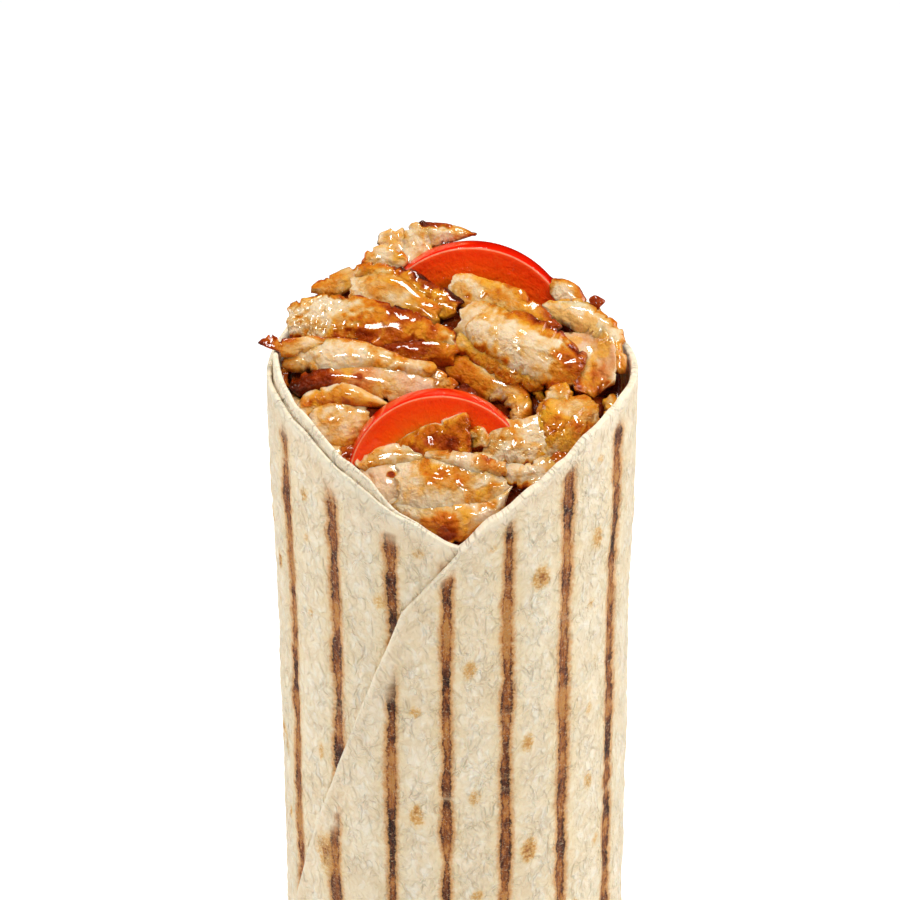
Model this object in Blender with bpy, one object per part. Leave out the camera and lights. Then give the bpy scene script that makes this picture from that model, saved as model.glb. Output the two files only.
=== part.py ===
"""Chicken lavash wrap, standing on its folded end.

A grilled flatbread is rolled into an upright tube whose rim dips to a V at the front.
It is filled with sliced chicken, which heaps up above the rim, and two half slices of tomato.
Metres, +Z up, the front V towards -Y. The origin is the centre of the flat folded end.
Slices are laid out in millimetres on the heap's own sloping plane: X to the right,
S up the slope towards the back, and L the height above the plane.
"""
import math
import random

import bmesh
import bpy
from mathutils import Matrix, Vector

MM = 0.001
GAP = 0.3 * MM                # between neighbouring pieces

RIM_Z = 185 * MM              # height of the rim at its sides
ROLL_R = 31.9 * MM            # outer radius of the roll
RIM_FLARE = 0.9 * MM          # how far the rim opens out
END_TAPER = 1.4 * MM          # how far the folded end draws in
SHEET = 1.4 * MM              # one layer of lavash
END_ROUND = 5 * MM            # rounding of the lower edge
FLOOR_Z = 4.5 * MM            # thickness of the folded end
FOLD_RECESS = 1.2 * MM        # step at the edge of the folded end's last flap
FOLD_EDGE_X = -13 * MM
PLEATS = 9
COLUMNS = 72

V_ANGLE = 1.7                 # degrees from the front, positive to the right
V_DROP = -17.1 * MM           # lowest point of the rim, below RIM_Z
FLAP_ROUND_DROP = -30 * MM    # where the free edge turns down after the rounded corner
FLAP_ROUND_ANGLE = -16.0
FLAP_FOOT_ANGLE = -120.0      # where the free edge meets the folded end

HEAP_SLOPE = math.radians(30)
SLOPE_BACK = Vector((0, math.cos(HEAP_SLOPE), math.sin(HEAP_SLOPE)))
SLOPE_UP = Vector((0, -math.sin(HEAP_SLOPE), math.cos(HEAP_SLOPE)))
CORE_SINK = 2.2 * MM          # the core lies this far under the slices' plane

# Height of the rim above RIM_Z in millimetres, by angle from the front
RIM_LINE = (
    (-180, 4.5), (-130, 2.6), (-92, 0.4), (-72, 0.9), (-55, -1.0), (-36, -5.9), (-16, -12.0),
    (V_ANGLE, V_DROP / MM), (13, -11.3), (26, -6.6), (36, -3.2), (45, -0.2), (58, 1.7),
    (70, 2.2), (110, 0.6), (150, 4.2), (180, 4.5),
)
# Height of the inner layer's edge above the outer one's, in millimetres
LEDGE_LINE = (
    (-180, 0.6), (-115, 0.8), (-84, 4.0), (-70, 2.2), (-28, 2.2), (-16, 0.4), (180, 0.4),
)
# Thickness of the rolled wall in millimetres
WALL_LINE = ((-180, 2.4), (-100, 2.9), (0, 2.9), (45, 1.7), (110, 1.7), (180, 2.4))

# name: path of (X, S, L), widths along it, lean towards the front in degrees, cup, thickness
SLICES = {
    "crown_left": (((-10.5, 22, 0), (-11, 25, 1.5), (-11.5, 28.5, 3)), (4.5, 5, 2.5), 5, 1.0, 2.4),
    "crown_lobe": (((-16, 21.5, 1), (-12.5, 22.5, 2), (-8.5, 22, 1.5)), (1.5, 4, 3), 25, 0.8, 2.2),
    "crown_mid": (((-7.5, 23, 0.5), (-6.5, 26, 2), (-4.5, 29, 3.5)), (2.5, 4, 2), 5, 0.8, 2.2),
    "crown_strip": (((-6, 27, 2), (-1.5, 27.5, 3), (4, 27.5, 3)), (3, 2.5, 1.2), 35, 0.6, 2.0),
    "back_left": (((-24, 16.5, 0), (-20, 19, 0.5), (-15, 21, 0.5)), (2.5, 3.5, 2.5), 15, 0.8, 2.2),
    "shoulder_gold": (((-17, 20.5, 2), (-10.5, 18, 3), (-5, 14.5, 3.5), (1, 12, 2.5)),
                      (1.5, 3.5, 4.5, 4.5), 20, 1.2, 2.6),
    "shoulder_pale": (((-19, 16, 1.5), (-12, 14.5, 2.5), (-3, 10, 2.5)), (3, 7, 2.5), 15, 1.2, 2.8),
    "long_left": (((-29.5, 9, 2.5), (-22.5, 9.5, 3.5), (-14.5, 8, 4), (-6.5, 6.5, 4), (0.5, 5, 3)),
                  (5, 8, 7.5, 6, 2.5), 12, 1.4, 2.8),
    "long_under": (((-16.5, 5, 1.5), (-8.5, 3, 2.5), (0.5, 2.5, 2)), (2, 4.5, 4.5), 25, 1.4, 2.6),
    "corner_left": (((-33, 2, 4.5), (-29.5, 2.5, 4), (-22.5, 4, 3), (-17, 6, 2)),
                    (2, 2.5, 2.5, 1), 20, 0.6, 2.2),
    "pale_bar": (((-29.5, 3, 2), (-23.5, 1.5, 3), (-17, 1.5, 3.5), (-10, 0, 3.5), (-3, -1, 2.5)),
                 (2.5, 5, 5.5, 3.5, 2.5), 15, 1.4, 3.0),
    "pink_slice": (((-28.5, -3.5, 0), (-22.5, -2, 1.5), (-16.5, -2.5, 2), (-10, -3.5, 2), (-3.5, -4, 1)),
                   (2.5, 4, 5, 6.5, 2.5), 20, 1.4, 2.6),
    "gold_arch": (((-26, -10, 0), (-24, -7, 1.5), (-18.5, -6.5, 2.5), (-10.5, -8, 1.5)),
                  (2.5, 4, 3.5, 1), 25, 1.2, 2.4),
    "arch_shade": (((-23, -9.5, -0.5), (-17.5, -9, 0.5), (-11.5, -8, 0)), (2, 3, 1.5), 20, 0.8, 2.0),
    "wall_crumb": (((-30, 2.5, 0), (-30.5, -0.5, 0), (-29.5, -3, -1.5)), (2.5, 3, 1.5), 0, 0.6, 2.2),
    "wall_pale": (((-29, -3.5, -1.5), (-27.5, -6.5, -1), (-26.5, -9.5, -1.5)),
                  (1.5, 2.5, 1.5), 0, 0.5, 2.0),
    "left_flake": (((-25, -11.5, -0.5), (-20, -11.5, 0.5), (-15, -10, 0.5)), (4.5, 7, 2.5), 25, 1.2, 2.6),
    "left_tail": (((-22, -13, -1.5), (-20.5, -15.5, -1.5), (-19, -18, -2)), (3.5, 3, 1.5), 0, 0.5, 2.2),
    "red_scrap": (((-19.5, -16.5, -2.5), (-17.5, -16, -2), (-15, -15.5, -2)), (2.5, 3.5, 2.5), 20, 0.6, 2.2),
    "front_upper": (((-16.5, -19.5, 0), (-11.5, -18.5, 1.5), (-5, -18.5, 2)), (2, 3.5, 2.5), 25, 1.0, 2.4),
    "front_left": (((-17, -21.5, -0.5), (-12.5, -22.5, 0.5), (-7.5, -24.5, 0.5)), (3.5, 6, 4.5), 20, 1.2, 2.6),
    "front_big": (((-10, -23.5, 1), (-4, -24, 2.5), (3, -23.5, 2.5), (9, -23, 0.5)),
                  (7, 11, 10.5, 4), 20, 2.0, 3.0),
    "front_lip": (((-5, -18.5, 2.5), (2, -20.5, 4), (9, -21.5, 2.5)), (1.5, 2.5, 2.5), 30, 0.8, 2.2),
    "orange_fin": (((-9.5, -16.5, 2.5), (-4, -17, 4.5), (1, -15.5, 5), (5, -14.5, 3.5)),
                   (2.5, 4.5, 7.5, 4.5), 35, 1.2, 2.4),
    "front_curve": (((-11.5, -25.5, -1.5), (-7, -28.5, -1), (0, -31.5, 0), (6.5, -28, -1), (9.5, -24, -1.5)),
                    (1.5, 3.5, 6, 4, 1.5), 30, 1.2, 2.4),
    "right_gloss": (((5, -16.5, 1.5), (10, -16, 2.5), (16.5, -15, 1.5)), (2.5, 7.5, 8.5), 20, 1.2, 2.6),
    "right_low": (((7.5, -19.5, 0.5), (12.5, -21.5, 1), (17, -20.5, 0.5), (21.5, -18, -0.5)),
                  (2, 4.5, 5, 4), 20, 1.0, 2.4),
    "right_bit": (((16.5, -20, 0.5), (19, -18.5, 1), (21.5, -16.5, 0)), (2.5, 3.5, 2), 20, 0.8, 2.2),
    "amber_main": (((14.5, -16, 1.5), (19.5, -13, 3.5), (26, -8.5, 1.5)), (6.5, 10.5, 5), 20, 2.2, 2.8),
    "amber_lobe": (((17, -8.5, 3), (18.5, -6.5, 3.5), (19.5, -4, 3)), (3.5, 4.5, 2.5), 5, 1.0, 2.2),
    "amber_fold": (((16.5, -8, 3), (15, -13, 3), (15, -18, 1)), (2.5, 3, 2.5), 5, 1.0, 2.2),
    "crest_slice": (((0.5, 9.5, 3.5), (6.5, 6, 5.5), (14, 1.5, 6), (22, -2, 4)), (4.5, 9.5, 10, 5), 15, 2.4, 3.0),
    "crest_back": (((-1.5, 16.5, 2.5), (4.5, 14.5, 3.5), (11, 11, 4.5), (17, 7.5, 4)),
                   (2.5, 4, 3.5, 2), 25, 1.0, 2.6),
    "crest_under": (((0.5, 6, 2), (6, 2.5, 3), (10.5, -2, 3), (15, -2, 2.5)), (3.5, 5, 5.5, 2.5), 25, 1.2, 2.4),
    "right_hook": (((19, 9, 1.5), (23, 9.5, 2.5), (27, 7, 3), (28.5, 0, 2)), (2.5, 3.5, 3.5, 2), 10, 1.0, 2.4),
    "right_cup": (((21.5, 8.5, 0.5), (24, 2.5, 1), (24.5, -4.5, 0.5)), (4, 8, 8), 0, -1.6, 2.4),
    "back_lobe": (((15.5, 19, 1), (19.5, 16.5, 2), (22.5, 13.5, 1)), (1.5, 4, 2.5), 20, 0.8, 2.4),
    "back_strip": (((16.5, 9.5, 2.5), (20, 11.5, 2.5), (26.5, 11, 2)), (3, 2.5, 1.5), 20, 0.6, 2.2),
    "char_knob": (((24.5, 11.5, 2), (25.5, 12, 2.5), (27, 13, 2)), (2, 2.5, 1.5), 20, 0.5, 2.2),
    "centre_arch": (((-1, 1.5, 0), (4.5, -1, 0.5), (9, -3.5, 0.5), (11, -6.5, 0), (11, -10.5, -1.5)),
                    (4.5, 7, 5, 3.5, 2.5), 20, 1.2, 2.4),
    "thin_strip": (((13, -1, 0), (14.5, -4, 0), (16.5, -6, -1.5)), (1.5, 1.5, 1.5), 20, 0.3, 1.8),
    "pink_bit": (((-4.5, -1, 0.5), (-2.5, -2.5, 0.5), (0, -4, -0.5)), (3, 3.5, 2.5), 20, 0.6, 2.2),
    "behind_left": (((-23, 19.5, -4.5), (-17, 24, -5), (-9, 27.5, -4.5)), (4, 7, 5), -55, 1.2, 2.6),
    "behind_mid": (((-11, 28.5, -6), (-3, 29.5, -6.5), (6, 29, -7)), (4, 8, 6), -70, 1.4, 2.8),
    "behind_right": (((3, 28, -7), (11, 26, -6.5), (18, 22, -6)), (4, 8, 4), -60, 1.4, 2.6),
    "behind_edge": (((14, 22, -3.5), (19, 19, -3.5), (24.5, 15, -3.5)), (3, 5, 3), -35, 1.0, 2.4),
    "side_left": (((-28, 10.5, -3), (-25.5, 14.5, -3.5), (-21, 19, -3.5)), (3, 4.5, 3), 10, 1.0, 2.4),
    "behind_top": (((-9, 29, -2.5), (-2, 29, -3.5), (7, 27.5, -4.5)), (3, 4.5, 3), -45, 1.0, 2.4),
}

# name: centre of the round in X, Y and height above RIM_Z, radius, roll in degrees, all in mm
TOMATOES = {
    "tomato_slice_front": ((-2.5, -13.5, -14.0), 16.0, 8.0),
    "tomato_slice_back": ((2.6, 15.5, -2.2), 17.6, -10.0),
}
TOMATO_THICK = 4.6 * MM
TOMATO_LEAN = math.radians(12)
TOMATO_BULGE = 0.5 * MM       # how far the skin bellies out between the cut faces


def line_value(points, angle):
    """Smoothly interpolated value of a line of (angle, value) points."""
    for (a0, v0), (a1, v1) in zip(points, points[1:]):
        if angle <= a1:
            t = (angle - a0) / (a1 - a0)
            return v0 + (v1 - v0) * (t + t * t * (3 - 2 * t)) / 2
    return points[-1][1]


def smooth(t):
    t = min(max(t, 0.0), 1.0)
    return t * t * (3 - 2 * t)


def wrapped(angle):
    """Angle in degrees brought between -180 and 180."""
    return (angle + 180) % 360 - 180


def rim_z(angle):
    return RIM_Z + line_value(RIM_LINE, wrapped(angle)) * MM


def wall(angle):
    return line_value(WALL_LINE, wrapped(angle)) * MM


def edge_angle(z):
    """Angle of the outer flap's free edge at a height."""
    corner = RIM_Z + FLAP_ROUND_DROP
    if z > corner:
        t = (RIM_Z + V_DROP - z) / (V_DROP - FLAP_ROUND_DROP)
        return V_ANGLE + (FLAP_ROUND_ANGLE - V_ANGLE) * max(t, 0.0)
    return FLAP_ROUND_ANGLE + (FLAP_FOOT_ANGLE - FLAP_ROUND_ANGLE) * (corner - z) / corner


def roll_radius(angle, z):
    """Outer radius of the rolled lavash, before the step at the flap's edge."""
    flare = RIM_FLARE * smooth((z - RIM_Z + 45 * MM) / (40 * MM))
    foot = smooth((30 * MM - z) / (30 * MM))
    pleat = 0.35 * MM * math.cos(math.radians(angle) * PLEATS)
    return ROLL_R + flare - foot * (END_TAPER + pleat)


def polar(radius, angle, z):
    a = math.radians(angle)
    return Vector((radius * math.sin(a), -radius * math.cos(a), z))


def bridge(bm, lower, upper):
    count = len(lower)
    for i in range(count):
        j = (i + 1) % count
        bm.faces.new((lower[i], lower[j], upper[j], upper[i]))


def fan(bm, ring, centre):
    tip = bm.verts.new(centre)
    for i, vert in enumerate(ring):
        bm.faces.new((vert, ring[(i + 1) % len(ring)], tip))


def outer_ring(bm, share, sink, inset):
    """Ring on the outside: share 0 at the rim, 1 at the rounded foot."""
    verts = []
    for i in range(COLUMNS + 1):
        turn = i / COLUMNS
        top = rim_z(V_ANGLE + 360 * turn) - sink
        z = top + (END_ROUND - top) * share
        angle = edge_angle(RIM_Z + V_DROP + (END_ROUND - RIM_Z - V_DROP) * share) + 360 * turn
        under = smooth((turn - 0.7) / 0.3) * SHEET
        verts.append(bm.verts.new(polar(roll_radius(angle, z) - under - inset, angle, z)))
    return verts


def inner_ring(bm, share, inset, ledge_share, grow):
    """Ring on the rim or inside: share 0 at the rim, 1 at the floor; inset is a share of the wall."""
    verts = []
    for i in range(COLUMNS + 1):
        angle = V_ANGLE + 360 * (i + 0.5) / (COLUMNS + 1)
        ledge = line_value(LEDGE_LINE, wrapped(angle)) * MM
        top = rim_z(angle) + ledge * ledge_share + grow
        z = top + (FLOOR_Z - top) * share
        radius = roll_radius(angle, z) - wall(angle) * inset
        radius += grow if inset < 0.6 else -grow
        verts.append(bm.verts.new(polar(radius, angle, z)))
    return verts


def foot_ring(bm, inset, z):
    verts = []
    for i in range(COLUMNS + 1):
        turn = i / COLUMNS
        angle = FLAP_FOOT_ANGLE + 360 * turn
        under = smooth((turn - 0.7) / 0.3) * SHEET
        verts.append(bm.verts.new(polar(roll_radius(angle, 0) - under - inset, angle, z)))
    return verts


def lavash_shell(grow=0.0, rows=14):
    """The rolled bread as one closed shell. With grow it is the clearance that the filling keeps."""
    bm = bmesh.new()
    foot = [foot_ring(bm, END_ROUND, 0.0), foot_ring(bm, 0.3 * END_ROUND, 0.3 * END_ROUND)]
    outside = [outer_ring(bm, 1 - k / rows, 0.5 * MM - grow, -grow) for k in range(rows + 1)]
    rim = [
        outer_ring(bm, 0.0, -grow, 0.35 * MM - grow),
        inner_ring(bm, 0.0, 0.48, 0.0, grow),
        inner_ring(bm, 0.0, 0.55, 1.0, grow),
        inner_ring(bm, 0.0, 0.88, 1.0, grow),
    ]
    inside = [inner_ring(bm, share, 1.0, 1.0, grow) for share in (0.004, 0.06, 0.15, 0.84, 1.0)]
    rings = foot + outside + rim + inside
    for lower, upper in zip(rings, rings[1:]):
        bridge(bm, lower, upper)
    fan(bm, list(reversed(rings[0])), (0, 0, 0))
    fan(bm, rings[-1], (0, 0, FLOOR_Z))
    bmesh.ops.recalc_face_normals(bm, faces=bm.faces)
    return bm


def slope_point(x, s, up):
    """A point laid out on the heap's sloping plane, in metres."""
    return Vector((x * MM, 0, RIM_Z)) + SLOPE_BACK * (s * MM) + SLOPE_UP * (up * MM)


def catmull(values, t):
    """Catmull-Rom value along a list, with t from 0 to 1."""
    last = len(values) - 1
    k = min(int(t * last), last - 1)
    f = t * last - k
    p1, p2 = values[k], values[k + 1]
    p0 = values[k - 1] if k > 0 else p1 * 2 - p2
    p3 = values[k + 2] if k + 2 <= last else p2 * 2 - p1
    return (p1 * 2 + (p2 - p0) * f + (p0 * 2 - p1 * 5 + p2 * 4 - p3) * (f * f)
            + (p1 * 3 - p0 - p2 * 3 + p3) * (f * f * f)) * 0.5


def chicken_slice(name, path, widths, lean, cup, thick, columns=3):
    """One slice of chicken: a strip along its path, cupped across and ragged along its edges."""
    rng = random.Random(name)
    rows = len(path) + 2
    spine = [slope_point(*point) for point in path]
    bm = bmesh.new()
    tops = []
    unders = []
    for r in range(rows + 1):
        t = r / rows
        here = catmull(spine, t)
        ahead = catmull(spine, min(t + 0.02, 1)) - catmull(spine, max(t - 0.02, 0))
        along = ahead.normalized()
        side = SLOPE_UP.cross(along).normalized()
        up = along.cross(side)
        tilt = Matrix.Rotation(math.radians(lean), 3, along)
        side = tilt @ side
        up = tilt @ up
        half = catmull(widths, t) * MM / 2 * (0.6 if r in (0, rows) else 1)
        half *= 1 + rng.uniform(-0.1, 0.1)
        shift = rng.uniform(-0.25, 0.25) * MM
        top_row = []
        under_row = []
        for c in range(columns + 1):
            v = 2 * c / columns - 1
            point = here + side * (half * v + shift) - up * (cup * MM * v * v)
            thin = thick * MM * (1 - 0.45 * v * v)
            top_row.append(bm.verts.new(point))
            under_row.append(bm.verts.new(point - up * thin))
        tops.append(top_row)
        unders.append(under_row)
    for r in range(rows):
        for c in range(columns):
            bm.faces.new((tops[r][c], tops[r + 1][c], tops[r + 1][c + 1], tops[r][c + 1]))
            bm.faces.new((unders[r][c], unders[r][c + 1], unders[r + 1][c + 1], unders[r + 1][c]))
        for c, (a, b) in ((0, (r, r + 1)), (columns, (r + 1, r))):
            bm.faces.new((tops[a][c], unders[a][c], unders[b][c], tops[b][c]))
    for r, (a, b) in ((0, (1, 0)), (rows, (0, 1))):
        for c in range(columns):
            bm.faces.new((tops[r][c + a], unders[r][c + a], unders[r][c + b], tops[r][c + b]))
    bmesh.ops.recalc_face_normals(bm, faces=bm.faces)
    return bm


def heap_top(radius, angle):
    """Height of the filling's core: the sloping plane, drawn down to the rim all round."""
    y = -radius * math.cos(math.radians(angle))
    plane = RIM_Z + y * math.tan(HEAP_SLOPE) - CORE_SINK
    room = ROLL_R - wall(angle) - radius
    brim = rim_z(angle) + room * 2.0 - 1.5 * MM
    return min(plane, brim)


def filling_core(sides=40, rings=6):
    """The packed filling inside the roll, from the folded end up to the heap."""
    bm = bmesh.new()
    bottom_z = FLOOR_Z + GAP
    base = []
    walls = []
    for i in range(sides):
        angle = 360 * i / sides
        radius = ROLL_R - wall(angle) - 1.0 * MM
        base.append(bm.verts.new(polar(radius - END_TAPER - 0.4 * MM, angle, bottom_z)))
        walls.append(bm.verts.new(polar(radius, angle, 35 * MM)))
    bridge(bm, base, walls)
    fan(bm, list(reversed(base)), (0, 0, bottom_z))
    previous = walls
    for k in range(rings):
        ring = []
        for i in range(sides):
            angle = 360 * i / sides
            radius = (ROLL_R - wall(angle) - 1.0 * MM) * (1 - k / rings)
            lump = 0.6 * MM * math.sin(i * 2.4 + k * 1.9)
            ring.append(bm.verts.new(polar(radius, angle, heap_top(radius, angle) + lump)))
        bridge(bm, previous, ring)
        previous = ring
    fan(bm, previous, (0, 0, heap_top(0, 0)))
    bmesh.ops.recalc_face_normals(bm, faces=bm.faces)
    return bm


def tomato_half(radius, thick, segments=24):
    """Half a round slice of tomato, cut faces towards +Y and -Y, flat side down at the centre."""
    bm = bmesh.new()
    layers = ((-0.5, -TOMATO_BULGE), (0.0, 0.0), (0.5, -TOMATO_BULGE))
    rows = []
    for depth, bulge in layers:
        row = []
        for i in range(segments + 1):
            a = math.pi * i / segments
            r = radius + bulge
            row.append(bm.verts.new((r * math.cos(a), depth * thick, r * math.sin(a))))
        rows.append(row)
    for lower, upper in zip(rows, rows[1:]):
        for i in range(segments):
            bm.faces.new((lower[i], lower[i + 1], upper[i + 1], upper[i]))
    bm.faces.new(rows[0])
    bm.faces.new(list(reversed(rows[-1])))
    bm.faces.new((rows[0][0], rows[1][0], rows[2][0], rows[2][-1], rows[1][-1], rows[0][-1]))
    bmesh.ops.recalc_face_normals(bm, faces=bm.faces)
    return bm


def make_object(name, bm, material=None):
    bmesh.ops.triangulate(bm, faces=bm.faces)
    mesh = bpy.data.meshes.new(name)
    bm.to_mesh(mesh)
    bm.free()
    obj = bpy.data.objects.new(name, mesh)
    bpy.context.scene.collection.objects.link(obj)
    if material:
        mesh.materials.append(material)
        mesh.shade_smooth()
        mesh.set_sharp_from_angle(angle=math.radians(35))
    return obj


def food_material(name, colour, roughness):
    material = bpy.data.materials.new(name)
    material.use_nodes = True
    shader = material.node_tree.nodes["Principled BSDF"]
    shader.inputs["Base Color"].default_value = (*colour, 1)
    shader.inputs["Roughness"].default_value = roughness
    shader.inputs["Metallic"].default_value = 0.0
    return material


def boolean(target, operation, solver, obj=None, collection=None):
    modifier = target.modifiers.new(operation.lower(), "BOOLEAN")
    modifier.operation = operation
    modifier.solver = solver
    if collection:
        modifier.operand_type = "COLLECTION"
        modifier.collection = collection
    else:
        modifier.object = obj


def apply_modifiers(obj):
    """Replace the object's mesh by what its modifiers make of it."""
    bpy.context.view_layer.update()
    shown = obj.evaluated_get(bpy.context.evaluated_depsgraph_get())
    mesh = bpy.data.meshes.new_from_object(shown)
    obj.modifiers.clear()
    obj.data = mesh


def islands(bm):
    left = set(bm.verts)
    while left:
        start = left.pop()
        island = {start}
        front = [start]
        while front:
            for edge in front.pop().link_edges:
                for vert in edge.verts:
                    if vert in left:
                        left.discard(vert)
                        island.add(vert)
                        front.append(vert)
        yield island


def keep_largest(obj):
    """Drop the scraps that the cuts leave loose."""
    bm = bmesh.new()
    bm.from_mesh(obj.data)
    parts = sorted(islands(bm), key=len)
    for scrap in parts[:-1]:
        bmesh.ops.delete(bm, geom=list(scrap), context="VERTS")
    bmesh.ops.triangulate(bm, faces=bm.faces)
    bm.to_mesh(obj.data)
    bm.free()


def remove(objects):
    for obj in list(objects):
        bpy.data.objects.remove(obj)


def place_tomato(obj, centre, roll):
    x, y, z = centre
    obj.location = (x * MM, y * MM, RIM_Z + z * MM)
    obj.rotation_euler = (-TOMATO_LEAN, math.radians(roll), 0)


def build_lavash():
    bread = food_material("lavash", (0.86, 0.76, 0.60), 0.75)
    lavash = make_object("lavash", lavash_shell(), bread)
    recess = bmesh.new()
    bmesh.ops.create_cube(recess, size=1.0)
    span = ROLL_R * 3
    bmesh.ops.scale(recess, vec=(span, span, 2 * FOLD_RECESS), verts=recess.verts)
    cutter = make_object("fold_recess", recess)
    cutter.location = (FOLD_EDGE_X - span / 2, 0, 0)
    cutter.hide_render = True
    cutter.display_type = "WIRE"
    boolean(lavash, "DIFFERENCE", "EXACT", obj=cutter)
    return lavash


def build_tomatoes():
    flesh = food_material("tomato", (0.80, 0.09, 0.03), 0.3)
    for name, (centre, radius, roll) in TOMATOES.items():
        slice_object = make_object(name, tomato_half(radius * MM, TOMATO_THICK), flesh)
        place_tomato(slice_object, centre, roll)


def clearances():
    """What the filling keeps clear of: the bread and the tomato, each larger by the gap."""
    cutters = [make_object("bread_clearance", lavash_shell(grow=GAP))]
    for name, (centre, radius, roll) in TOMATOES.items():
        grown = tomato_half(radius * MM + GAP, TOMATO_THICK + 2 * GAP)
        bmesh.ops.translate(grown, vec=(0, 0, -GAP), verts=grown.verts)
        cutter = make_object(name + "_clearance", grown)
        place_tomato(cutter, centre, roll)
        cutters.append(cutter)
    return cutters


def build_filling():
    meat = food_material("chicken", (0.62, 0.36, 0.16), 0.35)
    filling = make_object("chicken_filling", filling_core(), meat)
    pile = bpy.data.collections.new("slices")
    bpy.context.scene.collection.children.link(pile)
    for name, (path, widths, lean, cup, thick) in SLICES.items():
        piece = make_object(name, chicken_slice(name, path, widths, lean, cup, thick))
        pile.objects.link(piece)
        bpy.context.scene.collection.objects.unlink(piece)
    boolean(filling, "UNION", "MANIFOLD", collection=pile)
    apply_modifiers(filling)
    remove(pile.objects)
    bpy.data.collections.remove(pile)
    cutters = clearances()
    for cutter in cutters:
        boolean(filling, "DIFFERENCE", "MANIFOLD", obj=cutter)
    apply_modifiers(filling)
    remove(cutters)
    keep_largest(filling)


def main():
    remove(bpy.data.objects)
    build_lavash()
    build_tomatoes()
    build_filling()


main()
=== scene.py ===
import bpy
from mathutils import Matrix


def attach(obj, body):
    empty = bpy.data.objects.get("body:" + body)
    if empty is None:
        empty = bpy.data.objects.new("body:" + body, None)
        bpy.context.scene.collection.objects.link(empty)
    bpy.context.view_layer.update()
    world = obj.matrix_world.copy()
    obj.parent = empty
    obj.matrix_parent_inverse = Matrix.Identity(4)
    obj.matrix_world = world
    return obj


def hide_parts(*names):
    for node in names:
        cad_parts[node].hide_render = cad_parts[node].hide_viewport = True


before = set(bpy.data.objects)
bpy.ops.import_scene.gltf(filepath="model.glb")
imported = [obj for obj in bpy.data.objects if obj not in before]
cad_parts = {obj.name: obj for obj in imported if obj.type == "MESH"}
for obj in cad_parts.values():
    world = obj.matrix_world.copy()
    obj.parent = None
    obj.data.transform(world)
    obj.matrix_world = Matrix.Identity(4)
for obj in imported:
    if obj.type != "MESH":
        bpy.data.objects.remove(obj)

"""Chicken lavash wrap: bread, sliced chicken and tomato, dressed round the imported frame.

Laid out as an add-on with one operator for each part of the wrap and one for the stage.
Metres, +Z up, the front of the wrap towards -Y. Slices of chicken are laid out in
millimetres on the heap's sloping plane: X to the right, S up the slope, L above the plane.
Angles run round the roll in degrees from the front, positive to the right.
"""
import math
import random

import bpy
import numpy as np
from bpy.props import FloatProperty, FloatVectorProperty, IntProperty, PointerProperty
from bpy.types import Operator, Panel, PropertyGroup
from mathutils import Matrix, Vector, noise

bl_info = {
    "name": "Chicken Lavash Wrap",
    "version": (1, 0, 0),
    "blender": (4, 5, 0),
    "location": "View3D > Sidebar > Wrap",
    "description": "Builds a grilled lavash roll filled with sliced chicken and tomato",
    "category": "Add Mesh",
}

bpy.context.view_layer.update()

MM = 0.001
RIM_Z = 185 * MM              # height of the rim at its sides
ROLL_R = 31.9 * MM            # outer radius of the roll
RIM_FLARE = 0.6 * MM          # how much wider the roll is at its rim
FLARE_DROP = 45 * MM          # the flare starts this far below the rim
FLARE_RISE = 40 * MM          # and is full this much higher
END_TAPER = 1.4 * MM          # how much narrower at its folded end
TAPER_RISE = 30 * MM          # height over which the folded end tapers
SHEET = 1.15 * MM             # one layer of lavash
END_ROUND = 5 * MM            # rounding of the folded end
FLOOR_Z = 4.5 * MM            # thickness of the folded end
FOLD_RECESS = 1.2 * MM        # how far the tucked part of the end lies in
FOLD_EDGE_X = -13 * MM        # where that part starts
FOLD_HEIGHT = 0.35 * MM       # small folds across the end
PLEATS = 9                    # gathers round the roll above the end
PLEAT_DEPTH = 0.35 * MM
LEFT_BELLY = 0.4 * MM         # how much fuller the roll is on its left

V_ANGLE = 1.7                 # the V where the flap's free edge meets the rim
V_DROP = -17.1 * MM
FLAP_ROUND_ANGLE = -16.0      # from here the free edge runs evenly down and round
FLAP_ROUND_DROP = -30 * MM
FLAP_FOOT_ANGLE = -120.0      # where it reaches the folded end

HEAP_SLOPE = math.radians(30)
SLOPE_BACK = Vector((0, math.cos(HEAP_SLOPE), math.sin(HEAP_SLOPE)))
SLOPE_UP = Vector((0, -math.sin(HEAP_SLOPE), math.cos(HEAP_SLOPE)))
CORE_SINK = 3.6 * MM          # how far the core lies below the heap's plane
BRIM_STEEPNESS = 2.0          # how steeply the core falls to the rim
BRIM_DROP = 1.8 * MM          # how far below the rim it meets the bread

# Height of the rim above RIM_Z in millimetres, by angle
RIM_LINE = (
    (-180, 4.5), (-130, 2.6), (-92, 0.4), (-72, 0.9), (-55, -1.0), (-36, -5.9), (-16, -12.0),
    (V_ANGLE, V_DROP / MM), (13, -11.3), (26, -6.6), (36, -3.2), (45, -0.2), (58, 1.7),
    (70, 2.2), (110, 0.6), (150, 4.2), (180, 4.5),
)
# Height of the inner layer's edge above the outer one's, in millimetres
LEDGE_LINE = (
    (-180, 0.6), (-115, 0.8), (-84, 4.0), (-70, 2.2), (-28, 2.2), (-16, 0.4), (0, 0), (180, 0.4),
)
# How far two layers of lavash part at the rim, from 0 to 1
PARTED_LINE = (
    (-180, 0.5), (-115, 0.7), (-84, 1.0), (-28, 1.0), (-12, 0.3), (V_ANGLE, 0.0), (120, 0.0), (180, 0.5),
)
# Thickness of the rolled wall in millimetres
WALL_LINE = ((-180, 1.8), (-100, 2.3), (0, 2.2), (45, 1.25), (110, 1.3), (180, 1.8))

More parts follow.
